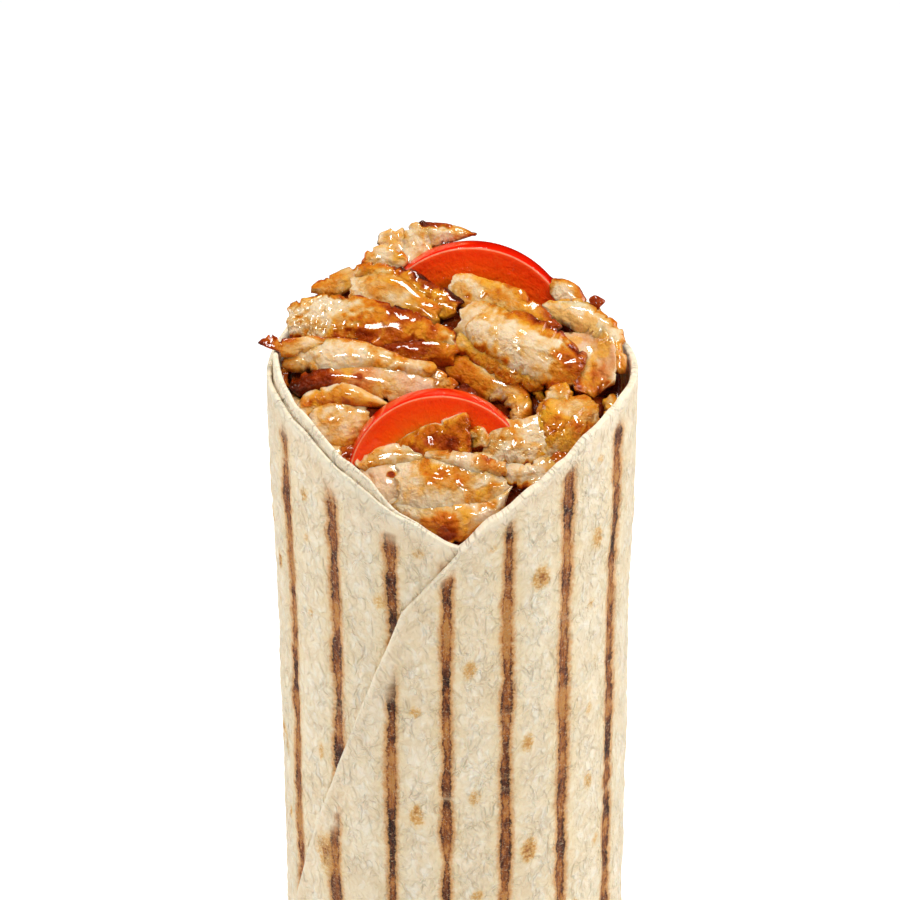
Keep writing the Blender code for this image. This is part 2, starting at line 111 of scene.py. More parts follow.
# The flap's free edge: arc into the flap in millimetres, depth as a share of the sheet
EDGE_PROFILE = (
    (0.8, 1.0), (0.6, 0.87), (0.12, 0.84), (-0.1, 0.66), (-0.14, 0.42), (0.02, 0.2),
    (0.35, 0.06), (0.85, 0.0),
)
# The rim: depth as a share of the wall, height in millimetres where the layers part,
# and the share of the ledge
RIM_PROFILE = (
    (0.02, -0.3, 0.0), (0.07, -0.07, 0.0), (0.17, 0.0, 0.0), (0.29, -0.04, 0.0), (0.37, -0.22, 0.0),
    (0.42, -0.7, 0.0), (0.47, -2.4, 0.0), (0.53, -1.6, 0.3), (0.555, -0.45, 1.0), (0.6, -0.1, 1.0),
    (0.72, 0.0, 1.0), (0.88, -0.08, 1.0), (0.97, -0.4, 1.0),
)
# Rows inside the roll, as shares of the way from the rim down
INSIDE_SHARES = (0.008, 0.02, 0.035, 0.05, 0.07, 0.09, 0.115, 0.14, 0.17, 0.25, 0.45, 0.7, 1.0)

# Angles of the grill marks
GRILL_ANGLES = (
    -64.8, -41.5, -19.9, -2.1, 17.0, 37.5, 61, 91, 111, 131, 151, 171, 191, 211, 231, 250, 268,
)
GRILL_PITCH = 12.0            # spacing of the marks on their own map, in millimetres
# Toasted spots: angle, height below RIM_Z in millimetres, width, height in millimetres, strength
TOAST_SPOTS = (
    (28, -25, 2.6, 3.6, 0.9), (5, -42, 2.0, 3.0, 0.7), (24, -59, 2.0, 3.2, 0.7),
    (25, -82, 2.4, 4.2, 0.9), (-12, -73, 2.2, 4.4, 0.75), (-45, -88, 4.5, 7.0, 1.0),
    (7, -69, 1.8, 2.8, 0.6), (51, -22, 2.2, 3.4, 0.7), (51, -6, 1.6, 1.6, 0.5),
    (12, -17, 1.6, 1.4, 0.45), (49, -35, 1.4, 1.8, 0.5), (49, -57, 1.6, 2.4, 0.5),
    (-12, -51, 1.9, 2.2, 0.6), (49, -73, 1.8, 3.2, 0.6), (54, -87, 1.6, 2.4, 0.5),
    (8, -91, 2.0, 2.6, 0.6), (-54, -14, 1.8, 2.4, 0.6), (-54, -23, 1.4, 1.8, 0.45),
    (-11, -19, 2.0, 1.8, 0.6), (-24, -30, 2.0, 3.0, 0.6), (-53, -38, 1.4, 2.2, 0.45),
    (-50, -67, 1.6, 3.4, 0.5), (52, -48, 1.0, 3.0, 0.35),
)

# Slices of each zone. Form: path of (X, S, L), widths along it, lean towards the front in degrees,
# cup and thickness in millimetres. Finish: roast at the start, middle and end, extra at the upper
# and the lower edge, tint from -1 golden fat to 1 pink, crumple at the start and at the end
SLICES = {
    "chicken_crown": {
        "crown_left": (((-9.8, 21.5, 0), (-10.4, 25, 1.5), (-10.8, 28.2, 3)), (5.5, 5.5, 3.5), 5, 1, 2.4,
            0, 0, 0.04, 0.1, 0, 0.2, 0.1, 0.15),
        "crown_lobe": (((-16, 21.2, 1), (-12.5, 22.5, 2), (-8.2, 22, 1.5)), (2.5, 4.5, 3.5), 25, 0.8, 2.2,
            0.3, 0.02, 0, 0.3, 0, 0.1, 0.1, 0.15),
        "crown_mid": (((-7.6, 22, 0.5), (-6.6, 26, 2), (-5.2, 29.3, 3.2)), (4.5, 5, 3), 5, 0.8, 2.2,
            0.02, 0.08, 0.3, 0.1, 0.1, -0.3, 0.1, 0.2),
        "crown_strip": (((-6.5, 27.8, 2), (-1.5, 27.2, 3), (4.4, 26.6, 3.4)), (4.8, 3.6, 0.6), 30, 0.6, 1.8,
            0.4, 0.02, 0.6, 0.1, 0, 0.1, 0.15, 0.2),
        "back_left": (((-24.5, 16.5, 0), (-20, 19, 0.5), (-14.5, 21, 0.8)), (3, 4, 3), 15, 0.8, 2.2,
            0.3, 0.2, 0.18, 0.3, 0, 0.1, 0.3, 0.3),
        "shoulder_gold": (((-17, 20.5, 2), (-10.5, 18, 3), (-5, 14.5, 3.5), (1, 11.5, 2.5)),
            (2.5, 4.5, 5, 4.5), 20, 1.2, 2.4, 0.2, 0.28, 0.42, 0.55, 0, -0.8, 0.15, 0.5),
        "shoulder_pale": (((-19, 16, 1.8), (-12, 14.2, 3), (-3, 9.6, 2.8)), (4.5, 8, 3.5), 15, 1.2, 2.6,
            0.12, 0.14, 0.18, 0.1, 0.15, 0.1, 0.1, 0.15),
    },
    "chicken_left": {
        "long_left": (((-29.5, 9, 2.5), (-22.5, 9.5, 3.5), (-14.5, 8, 4), (-6.5, 6.5, 4), (0.5, 5, 3)),
            (6.5, 8.5, 8, 6, 3.5), 12, 1.4, 2.6, 0, 0.1, 0.24, 0.5, 0.6, 0, 1, 0.3),
        "long_under": (((-16.5, 5, 1.5), (-8.5, 3, 2.5), (1, 2.6, 2)), (3, 5, 5.5), 25, 1.4, 2.6,
            0.62, 0.62, 0.46, 0.2, 0.1, -0.2, 0.35, 0.45),
        "corner_left": (((-33, 2.3, 4.5), (-29.5, 2.6, 4), (-22.5, 4, 3), (-16, 5.6, 2)),
            (4.6, 3.4, 2.6, 0.5), 20, 0.6, 2, 0.56, 0.08, 0.34, 0.3, 0.1, 0.2, 0.3, 0.2),
        "pale_bar": (((-30, 2.2, 2), (-23.5, 1.5, 3), (-17, 1.2, 3.5), (-10, -0.2, 3.5), (-3, -1.5, 2.5)),
            (4, 5.6, 5.8, 3.8, 3), 15, 1.4, 2.8, 0, 0, 0.04, 0.3, 0.15, 0.1, 0.05, 0.1),
        "pink_slice": (((-28.5, -3.5, 0), (-22.5, -2, 1.5), (-16.5, -2.5, 2), (-10, -3.5, 2), (-3.5, -4, 1)),
            (3.5, 4.8, 5.5, 6.5, 4), 20, 1.4, 2.4, 0.7, 0.36, 0.05, 0.2, 0.05, 0.5, 0.3, 0.1),
        "gold_arch": (((-26, -10, 0), (-24, -7, 1.5), (-18.5, -6.5, 2.5), (-10.5, -8, 1.5)),
            (2.5, 4, 3.8, 0.5), 25, 1.2, 2.2, 0, 0.3, 0.26, -0.3, 0.2, -0.6, 0.1, 0.1),
        "arch_shade": (((-23, -9.5, -0.5), (-17.5, -9, 0.5), (-11.5, -8, 0)), (2, 3, 1.5), 20, 0.8, 2,
            0.6, 0.65, 0.65, 0, 0, 0, 0.5, 0.5),
        "wall_crumb": (((-30, 2.5, 0), (-30.5, -0.5, 0), (-29.5, -3, -1.5)), (2.5, 3, 1.5), 0, 0.6, 2.2,
            0.45, 0.5, 0.45, 0.1, 0.1, 0, 0.9, 0.9),
        "wall_pale": (((-29, -3.5, -1.5), (-27.5, -6.5, -1), (-26.5, -9.5, -1.5)),
            (1.5, 2.5, 1.5), 0, 0.5, 2, 0.15, 0.12, 0.2, 0, 0, 0.1, 0.4, 0.4),
        "left_flake": (((-25.5, -11.5, 0), (-20, -11.5, 1), (-14.5, -10, 0.8)), (5.5, 7.5, 4), 25, 1.2, 2.2,
            0.12, 0.14, 0.2, 0.15, 0.15, 0.1, 0.2, 0.35),
        "left_tail": (((-22, -13, -1.5), (-20.5, -15.5, -1.2), (-19, -18, -1.5)), (3.5, 3, 1.5), 0, 0.5, 2,
            0.12, 0.1, 0.12, 0, 0.1, 0.1, 0.3, 0.3),
        "red_scrap": (((-19.5, -16.2, -1.5), (-17.5, -15.8, -1.2), (-14.5, -15.2, -1.2)),
            (2.5, 3.5, 2.5), 20, 0.6, 2, 0.6, 0.62, 0.55, 0, 0.1, 0.1, 0.5, 0.5),
        "pink_bit": (((-4.5, -1, 0.8), (-2.5, -2.5, 0.8), (0.5, -4, 0)), (3, 3.8, 3), 20, 0.6, 2,
            0.15, 0.25, 0.45, 0.1, 0.1, 0.3, 0.4, 0.5),
    },
    "chicken_front": {
        "front_upper": (((-16.5, -19.5, 0), (-11.5, -18.5, 1.5), (-5, -18.5, 2)), (2.5, 4, 3), 25, 1, 2.2,
            0.04, 0.02, 0.06, 0.1, 0.2, 0, 0.3, 0.3),
        "front_left": (((-17.5, -21.5, -0.5), (-12.5, -22.5, 0.5), (-7.5, -24.5, 0.5)),
            (4.5, 7, 5), 20, 1.2, 2.4, 0.04, 0.03, 0.05, 0.05, 0.1, 0.35, 0.1, 0.15),
        "front_big": (((-10.5, -23.5, 1), (-4, -24, 2.5), (3, -23.5, 2.5), (9.5, -22.6, 0.5)),
            (8.5, 11, 10.5, 5), 20, 2, 2.6, 0.02, 0.04, 0, 0.05, 0.1, 0.1, 0.3, 0.6),
        "front_lip": (((-5, -18.5, 2.5), (2, -20.5, 4), (9.5, -21.5, 2.5)), (1.8, 3, 3), 30, 0.8, 2,
            0.04, 0, 0.12, 0.3, 0, 0.4, 0.15, 0.2),
        "orange_fin": (((-3.4, -20.4, 1.4), (-2.2, -17.8, 3.6), (-0.2, -15.4, 5.4), (2.2, -12.8, 7.4)),
            (17, 12.5, 6.5, 0.4), 4, 1, 1.6, 0.34, 0.38, 0.32, -0.45, 0.1, -0.3, 0.3, 0.5),
        "fin_crumb": (((4.2, -17.2, 2.4), (4.6, -15.8, 3.8), (3.8, -14.6, 5)), (2.4, 2.8, 2), 5, 0.6, 1.8,
            0.08, 0.06, 0.1, 0.1, 0, 0, 0.8, 0.8),
        "front_curve": (
            ((-11.5, -25.5, -1), (-7, -28.5, -0.2), (0, -31, 0.6), (6.5, -28, -0.2), (10.5, -22.6, -0.6)),
            (2.5, 4.5, 6.5, 4.2, 0.5), 30, 1.2, 2.2, 0.05, 0.12, 0.03, 0, 0.1, 0.2, 0.15, 0.1),
        "right_gloss": (((5, -16.5, 1.5), (10, -16, 2.8), (16.5, -15, 2)), (4, 8, 8.5), 20, 1.2, 2.2,
            0, 0, 0, 0, 0.5, 0.1, 0.7, 0.6),
        "right_low": (((7.5, -19.5, 0.5), (12.5, -21.5, 1.2), (17, -20.5, 1), (21.5, -18, 0)),
            (3, 5, 5.5, 4.5), 20, 1, 2.2, 0, 0, 0.06, 0, 0.45, -0.3, 0.2, 0.3),
        "right_bit": (((16.5, -20, 0.5), (19, -18.5, 1), (21.5, -16.5, 0)), (2.5, 3.5, 2), 20, 0.8, 2,
            0.5, 0.5, 0.5, 0, 0.1, 0, 0.6, 0.6),
    },
    "chicken_crest": {
        "crest_slice": (((0.8, 9.5, 3.5), (6.5, 6, 5.5), (14, 1.5, 6), (22.4, -2.2, 4)),
            (6, 10, 10.5, 6.5), 15, 2.4, 2.8, 0.06, 0, 0.08, 0.3, 0.25, 0, 0, 0.7),
        "crest_back": (((-1, 16.4, 2.6), (4.5, 13.8, 3.8), (11, 9.8, 5), (18, 4.6, 4.6)),
            (4.5, 6.2, 6.2, 4), 22, 0.8, 2, 0, 0.24, 0.44, 0.2, 0.1, 0, 0.15, 0.6),
        "crest_under": (((0, 5.6, 2.2), (6, 2, 3.2), (11, -1.8, 3.4), (16, -3.2, 3)),
            (4.5, 5.5, 5.5, 3.5), 25, 1.2, 2.2, 0.26, 0.24, 0.14, 0.1, 0.2, -0.5, 0.3, 1),
        "centre_arch": (((-1, 1.5, 0), (4.5, -1, 0.8), (9, -3.5, 1), (11, -6.5, 0.4), (11.4, -10.5, -1)),
            (5, 7.5, 5.5, 4, 2.8), 20, 1.2, 2.2, 0.34, 0.16, 0.02, 0.2, 0.1, 0, 0, 0.05),
        "thin_strip": (((13, -1, 0), (14.5, -4, 0), (16.5, -6, -1.5)), (1.5, 1.5, 1.5), 20, 0.3, 1.8,
            0.3, 0.36, 0.45, 0, 0, 0, 0.3, 0.3),
    },
    "chicken_right": {
        "amber_main": (((14.5, -16, 1.5), (19.5, -13, 3.5), (26, -8.5, 1.5)), (7.5, 10.5, 6), 20, 2.2, 2.4,
            0.2, 0.26, 0.24, 0.2, 0.1, -0.8, 1, 1),
        "amber_lobe": (((17, -8.5, 3), (18.5, -6.5, 3.5), (19.5, -4, 3)), (4, 4.5, 3), 5, 1, 2,
            0.24, 0.18, 0.24, 0, 0, -0.8, 0.6, 0.6),
        "amber_fold": (((16.5, -8, 3), (15, -13, 3), (15, -18, 1)), (2.5, 3, 2.5), 5, 1, 2,
            0.24, 0.26, 0.24, 0, 0, -0.8, 0.5, 0.5),
        "right_hook": (((15.5, 12, 2.2), (21, 10.8, 3), (25.6, 8.6, 3.3), (28.2, 5, 2.8), (28.6, -0.5, 1.5)),
            (3, 4.2, 4.6, 4, 2.5), 10, 1, 2.2, 0, 0.06, 0.18, 0.2, 0, -0.6, 0.1, 0.15),
        "right_cup": (((22, 8, 0.8), (24, 2.5, 1.4), (25, -4.5, 1)), (5, 8, 7.5), 0, -1.6, 2.2,
            0.02, 0.04, 0.18, 0, 0.25, 0.5, 0.1, 0.25),
        "right_shred": (((27.2, -4.5, 0), (27.6, -7.5, 0.4), (26.6, -10.5, -0.4)),
            (2.2, 2.4, 1.4), 0, 0.4, 1.6, 0.26, 0.28, 0.3, 0, 0, -0.9, 0.3, 0.3),
        "back_lobe": (((17, 18, 0.6), (20, 16, 1.4), (23, 13.3, 0.8)), (2.4, 3.8, 2.6), 20, 0.8, 2,
            0.18, 0.08, 0.06, 0.3, 0, 0, 0.2, 0.2),
        "back_strip": (((18.5, 12.5, 2), (22, 12.2, 2.4), (26.5, 11, 2)), (2.4, 2.5, 1.5), 20, 0.6, 2,
            0.12, 0.1, 0.15, 0.2, 0, 0.1, 0.3, 0.3),
        "char_knob": (((24.2, 12, 2.4), (25.6, 12.4, 3), (27, 12.8, 2.4)), (2.2, 2.6, 1.8), 20, 0.5, 2,
            0.7, 0.75, 0.7, 0, 0, 0, 0.6, 0.6),
    },
    "chicken_behind": {
        "behind_left": (((-23, 19.5, -4.5), (-17, 24, -5), (-9, 27.5, -4.5)), (4, 7, 5), -55, 1.2, 2.6,
            0.3, 0.15, 0.3, 0.4, 0.2, 0.1, 0.5, 0.3),
        "behind_mid": (((-11, 28.5, -6), (-3, 29.5, -6.5), (6, 29, -7)), (4, 8, 6), -70, 1.4, 2.8,
            0.25, 0.4, 0.2, 0.4, 0.2, 0.1, 0.3, 0.7),
        "behind_right": (((3, 28, -7), (11, 26, -6.5), (18, 22, -6)), (4, 8, 4), -60, 1.4, 2.6,
            0.12, 0.16, 0.4, 0.5, 0.1, 0.2, 0.3, 0.7),
        "behind_edge": (((14, 22, -3.5), (19, 19, -3.5), (24.5, 15, -3.5)), (3, 5, 3), -35, 1, 2.4,
            0.3, 0.2, 0.4, 0.5, 0.1, 0.1, 0.5, 0.3),
        "side_left": (((-28, 10.5, -3), (-25.5, 14.5, -3.5), (-21, 19, -3.5)), (3, 4.5, 3), 10, 1, 2.4,
            0.35, 0.2, 0.3, 0.3, 0.1, 0.1, 0.5, 0.3),
        "behind_top": (((-9, 29, -2.5), (-2, 29, -3.5), (7, 27.5, -4.5)), (3, 4.5, 3), -45, 1, 2.4,
            0.2, 0.3, 0.5, 0.4, 0.2, 0.1, 0.4, 0.6),
    },
}

# name: place along and across, length and width in millimetres and as a share, change of roast
PATCHES = {
    "pink_slice": ((0.5, 0.0, 0.9, 0.25, 0.34), (0.12, 0.0, 5.0, 1.0, 0.1)),
    "front_left": ((0.62, 0.42, 0.6, 0.14, 0.75),),
    "front_curve": ((0.44, -0.3, 3.2, 0.8, 0.24), (0.46, -0.5, 1.2, 0.4, 0.2)),
    "front_big": ((0.45, 0.1, 4.5, 0.35, 0.16),),
    "crest_slice": ((0.6, 0.9, 9.0, 0.4, 0.34), (0.4, -0.9, 4.0, 0.3, 0.3), (0.95, 0.0, 3.6, 1.0, 0.3)),
    "crown_strip": ((0.06, 0.3, 1.3, 0.6, 0.4), (0.35, 0.9, 2.8, 0.4, 0.5)),
    "shoulder_pale": ((0.85, 0.0, 3.0, 1.0, 0.1),),
    "long_left": ((0.66, 0.0, 8.0, 1.3, 0.3), (0.95, 0.2, 2.5, 1.0, -0.15), (0.36, -0.4, 2.4, 0.6, 0.25)),
    "long_under": ((0.85, 0.0, 3.0, 0.8, -0.12),),
    "orange_fin": ((0.5, -0.3, 1.3, 0.25, 0.22), (0.35, 0.1, 3.0, 0.5, 0.06)),
    "right_cup": ((0.85, 0.3, 2.5, 0.5, 0.3),),
    "shoulder_gold": ((0.6, 0.6, 3.5, 0.4, 0.2),),
}
SLICE_ROOM = 0.35 * MM        # left between a slice and the bread
BLUNT = 0.8                   # how quickly a slice closes at its ends, in millimetres
POINTED = 0.8                 # an end narrower than this is left pointed, in millimetres
BURIED = -0.3                 # below this height above the slope the slices darken, painted shade deep in the heap
# painted shade: how much the roast rises on slices deep in the heap
BURIED_SHADE = 0.34
# painted shade: how much the roast rises on a slice's underside
UNDERSIDE_SHADE = 0.28
LIP_ROAST = 0.16              # where a torn layer of meat ends

UNDER_SLICES = 46             # plain slices packed between and under the ones above

# name: centre in X, Y and height above RIM_Z and radius, in millimetres, then roll in degrees
TOMATOES = {
    "tomato_slice_front": ((-2.5, -13.5, -14.0), 16.0, 8.0),
    "tomato_slice_back": ((3.4, 15.5, -2.5), 18.3, -10.0),
}
TOMATO_LEAN = math.radians(12)


# ---------------------------------------------------------------- values along lines

def smooth(t):
    t = min(max(t, 0.0), 1.0)
    return t * t * (3 - 2 * t)


def line_value(points, angle):
    """Smoothly interpolated value of a line of (angle, value) points."""
    for (a0, v0), (a1, v1) in zip(points, points[1:]):
        if angle <= a1:
            t = (angle - a0) / (a1 - a0)
            return v0 + (v1 - v0) * (t + t * t * (3 - 2 * t)) / 2
    return points[-1][1]


def wrapped(angle):
    """Angle in degrees brought between -180 and 180."""
    return (angle + 180) % 360 - 180


def catmull(values, t):
    """Catmull-Rom value along a list, with t from 0 to 1."""
    last = len(values) - 1
    k = min(int(t * last), last - 1)
    f = t * last - k
    p1, p2 = values[k], values[k + 1]
    p0 = values[k - 1] if k > 0 else p1 * 2 - p2
    p3 = values[k + 2] if k + 2 <= last else p2 * 2 - p1
    return (p1 * 2 + (p2 - p0) * f + (p0 * 2 - p1 * 5 + p2 * 4 - p3) * (f * f)
            + (p1 * 3 - p0 - p2 * 3 + p3) * (f * f * f)) * 0.5


def rim_z(angle):
    return RIM_Z + line_value(RIM_LINE, wrapped(angle)) * MM


def wall(angle):
    return line_value(WALL_LINE, wrapped(angle)) * MM


def brim_z(angle):
    """Height of the inner layer's edge at the rim."""
    ledge = line_value(LEDGE_LINE, wrapped(angle)) * line_value(PARTED_LINE, wrapped(angle)) * MM
    return rim_z(angle) + ledge


def edge_angle(z):
    """Angle of the outer flap's free edge at a height."""
    corner = RIM_Z + FLAP_ROUND_DROP
    if z > corner:
        t = (RIM_Z + V_DROP - z) / (V_DROP - FLAP_ROUND_DROP)
        return V_ANGLE + (FLAP_ROUND_ANGLE - V_ANGLE) * max(t, 0.0)
    return FLAP_ROUND_ANGLE + (FLAP_FOOT_ANGLE - FLAP_ROUND_ANGLE) * (corner - z) / corner


def roll_radius(angle, z):
    """Outer radius of the rolled lavash, before the step at the flap's edge."""
    flare = RIM_FLARE * smooth((z - RIM_Z + FLARE_DROP) / FLARE_RISE)
    foot = smooth((TAPER_RISE - z) / TAPER_RISE)
    pleat = PLEAT_DEPTH * math.cos(math.radians(angle) * PLEATS)
    belly = LEFT_BELLY * math.exp(-(wrapped(angle + 88) / 42) ** 2) * (1 - foot)
    return ROLL_R + belly + flare - foot * (END_TAPER + pleat)


def polar(radius, angle, z):
    a = math.radians(angle)
    return Vector((radius * math.sin(a), -radius * math.cos(a), z))


def slope_point(x, s, up):
    """A point laid out on the heap's sloping plane, in metres."""
    return Vector((x * MM, 0, RIM_Z)) + SLOPE_BACK * (s * MM) + SLOPE_UP * (up * MM)


def soft_noise(x, y, z=0.0):
    return noise.noise(Vector((x, y, z)))


def ring_noise(angle, reach, z):
    """Noise round a ring, the same after a whole turn; a larger reach makes it finer."""
    a = math.radians(angle)
    return soft_noise(reach * math.cos(a), reach * math.sin(a), z)


# ---------------------------------------------------------------- modelling by hand

SEAM = 0.01 * MM              # points nearer than this are one


def deselect():
    if bpy.context.object and bpy.context.object.mode != "OBJECT":
        bpy.ops.object.mode_set(mode="OBJECT")
    bpy.ops.object.select_all(action="DESELECT")


def shaped_grid(name, across, along, place, layers):
    """Add a grid and move each of its points to where place(u, v) says.

    place takes the column and row number and gives the point, then one value for each layer.
    A layer named like roll:uv is a map, the others hold one number at each point.
    """
    deselect()
    bpy.ops.mesh.primitive_grid_add(x_subdivisions=across, y_subdivisions=along, size=1.0)
    obj = bpy.context.object
    obj.name = name
    mesh = obj.data
    mesh.name = name
    flat = np.empty(len(mesh.vertices) * 3)
    mesh.vertices.foreach_get("co", flat)
    flat = flat.reshape(-1, 3)
    columns = np.rint((flat[:, 0] + 0.5) * across).astype(int)
    rows = np.rint((flat[:, 1] + 0.5) * along).astype(int)
    made = [place(int(i), int(j)) for i, j in zip(columns, rows)]
    points = np.array([tuple(m[0]) for m in made])
    mesh.vertices.foreach_set("co", points.ravel())
    corners = np.empty(len(mesh.loops), dtype=np.int32)
    mesh.loops.foreach_get("vertex_index", corners)
    while mesh.uv_layers:
        mesh.uv_layers.remove(mesh.uv_layers[0])
    for k, layer in enumerate(layers, start=1):
        values = np.array([m[k] for m in made], dtype=np.float32)
        if layer.endswith(":uv"):
            spots = mesh.uv_layers.new(name=layer[:-3])
            spots.data.foreach_set("uv", values[corners].ravel())
        else:
            mesh.attributes.new(layer, "FLOAT", "POINT").data.foreach_set("value", values)
    mesh.update()
    return obj


def close_shell(obj):
    """Merge seams and poles, cap open ends, and turn the faces outwards."""
    deselect()
    obj.select_set(True)
    bpy.context.view_layer.objects.active = obj
    bpy.ops.object.mode_set(mode="EDIT")
    bpy.ops.mesh.select_all(action="SELECT")
    bpy.ops.mesh.remove_doubles(threshold=SEAM)
    bpy.ops.mesh.fill_holes(sides=0)
    bpy.ops.mesh.select_all(action="SELECT")
    bpy.ops.mesh.normals_make_consistent(inside=False)
    bpy.ops.object.mode_set(mode="OBJECT")
    bpy.ops.object.shade_smooth()


def joined(objects, name):
    deselect()
    for obj in objects:
        obj.select_set(True)
    bpy.context.view_layer.objects.active = objects[0]
    if len(objects) > 1:
        bpy.ops.object.join()
    made = bpy.context.view_layer.objects.active
    made.name = name
    made.data.name = name
    return made


def dress(obj, material, node=None):
    """Give a finished piece its material and its place in the frame."""
    obj.data.materials.clear()
    obj.data.materials.append(material)
    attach(obj, "root")
    if node:
        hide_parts(node)


# ---------------------------------------------------------------- shader wiring

def paint(red, green, blue):
    """Linear colour of a paint given by its display values from 0 to 255."""
    def linear(value):
        value /= 255
        return value / 12.92 if value <= 0.04045 else ((value + 0.055) / 1.055) ** 2.4
    return (linear(red), linear(green), linear(blue), 1.0)


WHITE = (1.0, 1.0, 1.0, 1.0)


def solid(colour):
    return (*colour, 1.0)


class Wire:
    """The output of a node. Signs between wires and numbers add the node that works them out."""

    def __init__(self, wiring, socket):
        self.wiring = wiring
        self.socket = socket

    def __add__(self, other):
        return self.wiring.math("ADD", self, other)

    def __sub__(self, other):
        return self.wiring.math("SUBTRACT", self, other)

    def __rsub__(self, other):
        return self.wiring.math("SUBTRACT", other, self)

    def __mul__(self, other):
        return self.wiring.math("MULTIPLY", self, other)

    def __truediv__(self, other):
        return self.wiring.math("DIVIDE", self, other)

    def __rtruediv__(self, other):
        return self.wiring.math("DIVIDE", other, self)

    def __abs__(self):
        return self.wiring.math("ABSOLUTE", self)


class Wiring:
    """Adds nodes to one tree. Every value given to a node is a wire, a number or a colour."""

    def __init__(self, tree):
        self.tree = tree

    def feed(self, socket, value):
        if isinstance(value, Wire):
            self.tree.links.new(value.socket, socket)
        else:
            socket.default_value = value

    def wires(self, sockets):
        return {socket.name: Wire(self, socket) for socket in sockets}

    def node(self, kind, inputs, output=0, **settings):
        made = self.tree.nodes.new(kind)
        for key, value in settings.items():
            setattr(made, key, value)
        for key, value in inputs.items():
            self.feed(made.inputs[key], value)
        return Wire(self, made.outputs[output])

    def math(self, operation, *values):
        return self.node("ShaderNodeMath", dict(enumerate(values)), operation=operation)

    def band(self, value, low, high, start=0.0, end=1.0):
        """Value taken smoothly from start at low to end at high."""
        return self.node("ShaderNodeMapRange", {
            "Value": value, "From Min": low, "From Max": high, "To Min": start, "To Max": end,
        }, interpolation_type="SMOOTHSTEP")

    def blend(self, share, first, second):
        return self.node("ShaderNodeMix", {0: share, 6: first, 7: second}, 2, data_type="RGBA")

    def coated(self, base, *coats):
        """A colour under coats of others, each given as its share, then red, green and blue."""
        for share, *rgb in coats:
            base = self.blend(share, base, paint(*rgb))
        return base

    def ramp(self, value, stops):
        made = self.node("ShaderNodeValToRGB", {"Fac": value})
        elements = made.socket.node.color_ramp.elements
        while len(elements) < len(stops):
            elements.new(0.5)
        for element, (position, colour) in zip(elements, stops):
            element.position = position
            element.color = colour
        return made

    def attribute(self, name):
        return self.node("ShaderNodeAttribute", {}, "Fac", attribute_name=name)

    def uv(self, name):
        return self.node("ShaderNodeUVMap", {}, uv_map=name)

    def stretched(self, vector, scale):
        return self.node("ShaderNodeMapping", {"Vector": vector, "Scale": scale})

    def noise(self, vector, scale, detail=3.0, roughness=0.5, distortion=0.0):
        return self.node("ShaderNodeTexNoise", {
            "Vector": vector, "Scale": scale, "Detail": detail, "Roughness": roughness,
            "Distortion": distortion,
        }, "Fac")

    def cells(self, vector, scale):
        """Distance to the nearest edge between cells."""
        return self.node("ShaderNodeTexVoronoi", {"Vector": vector, "Scale": scale}, "Distance",
                         feature="DISTANCE_TO_EDGE")

    def warped(self, vector, scale, amount):
        """Coordinates pushed about by noise, so that patterns on them wander."""
        wander = self.node("ShaderNodeTexNoise", {"Vector": vector, "Scale": scale, "Detail": 2.0}, "Color")
        centred = self.node("ShaderNodeVectorMath", {0: wander, 1: (0.5,) * 3}, operation="SUBTRACT")
        return self.node("ShaderNodeVectorMath", {0: centred, 1: (amount,) * 3, 2: vector},
                         operation="MULTIPLY_ADD")

    def bump(self, height, distance):
        return self.node("ShaderNodeBump", {"Height": height, "Distance": distance})

    def group(self, name, inputs):
        """Use a node group, and give its outputs by name."""
        made = self.node("ShaderNodeGroup", inputs, node_tree=node_group(name))
        return self.wires(made.socket.node.outputs)

    def finish(self, shader, values):
        for key, value in values.items():
            self.feed(shader.inputs[key], value)


def new_material(name):
    material = bpy.data.materials.new(name)
    material.use_nodes = True
    tree = material.node_tree
    shader = tree.nodes["Principled BSDF"]
    return material, Wiring(tree), shader


def mottle(w, given):
    """Uneven patches, at a size in the coordinates' own units, with finer specks inside them."""
    scale = 1.0 / given["Size"]
    broad = w.noise(given["Vector"], scale, 4.0, 0.6, 0.4)
    fine = w.noise(given["Vector"], scale * 7.0, 3.0, 0.6)
    return {"Patches": (broad - 0.5) * given["Contrast"] + 0.5, "Specks": w.band(fine, 0.62, 0.74)}


def wet_film(w, given):
    """Thin juice over food: where it lies, the crumpled film that sparkles, and its fine grain."""
    scale = 1.0 / given["Wrinkle Size"]
    wander = w.warped(given["Vector"], scale * 0.7, 1.0)
    broad = abs(w.noise(wander, scale, 1.0) - 0.5)
    close = abs(w.noise(wander, scale * 2.1, 1.0) - 0.5)
    pool = w.noise(given["Vector"], scale * 0.22, 2.0)
    low = 0.85 - given["Cover"]
    return {
        "Film": w.band(pool, low - 0.14, low + 0.12),
        "Crinkle": broad * 2.2 + close,
        "Grain": w.noise(wander, scale * 0.95, 2.0, 0.45),
    }


# name: what builds it, and its inputs with their defaults
GROUPS = {
    "Mottle": (mottle, {"Vector": None, "Size": 5.0, "Contrast": 1.0}),
    "Wet Film": (wet_film, {"Vector": None, "Wrinkle Size": 0.8, "Cover": 0.5}),
}


def node_group(name):
    """The shader node group of this name, built the first time that it is used."""
    if name in bpy.data.node_groups:
        return bpy.data.node_groups[name]
    build, inputs = GROUPS[name]
    tree = bpy.data.node_groups.new(name, "ShaderNodeTree")
    for label, default in inputs.items():
        if default is None:
            tree.interface.new_socket(label, in_out="INPUT", socket_type="NodeSocketVector")
        else:
            socket = tree.interface.new_socket(label, in_out="INPUT", socket_type="NodeSocketFloat")
            socket.default_value = default
    w = Wiring(tree)
    results = build(w, w.wires(tree.nodes.new("NodeGroupInput").outputs))
    for label in results:
        tree.interface.new_socket(label, in_out="OUTPUT", socket_type="NodeSocketFloat")
    w.finish(tree.nodes.new("NodeGroupOutput"), results)
    return tree


# ---------------------------------------------------------------- lavash

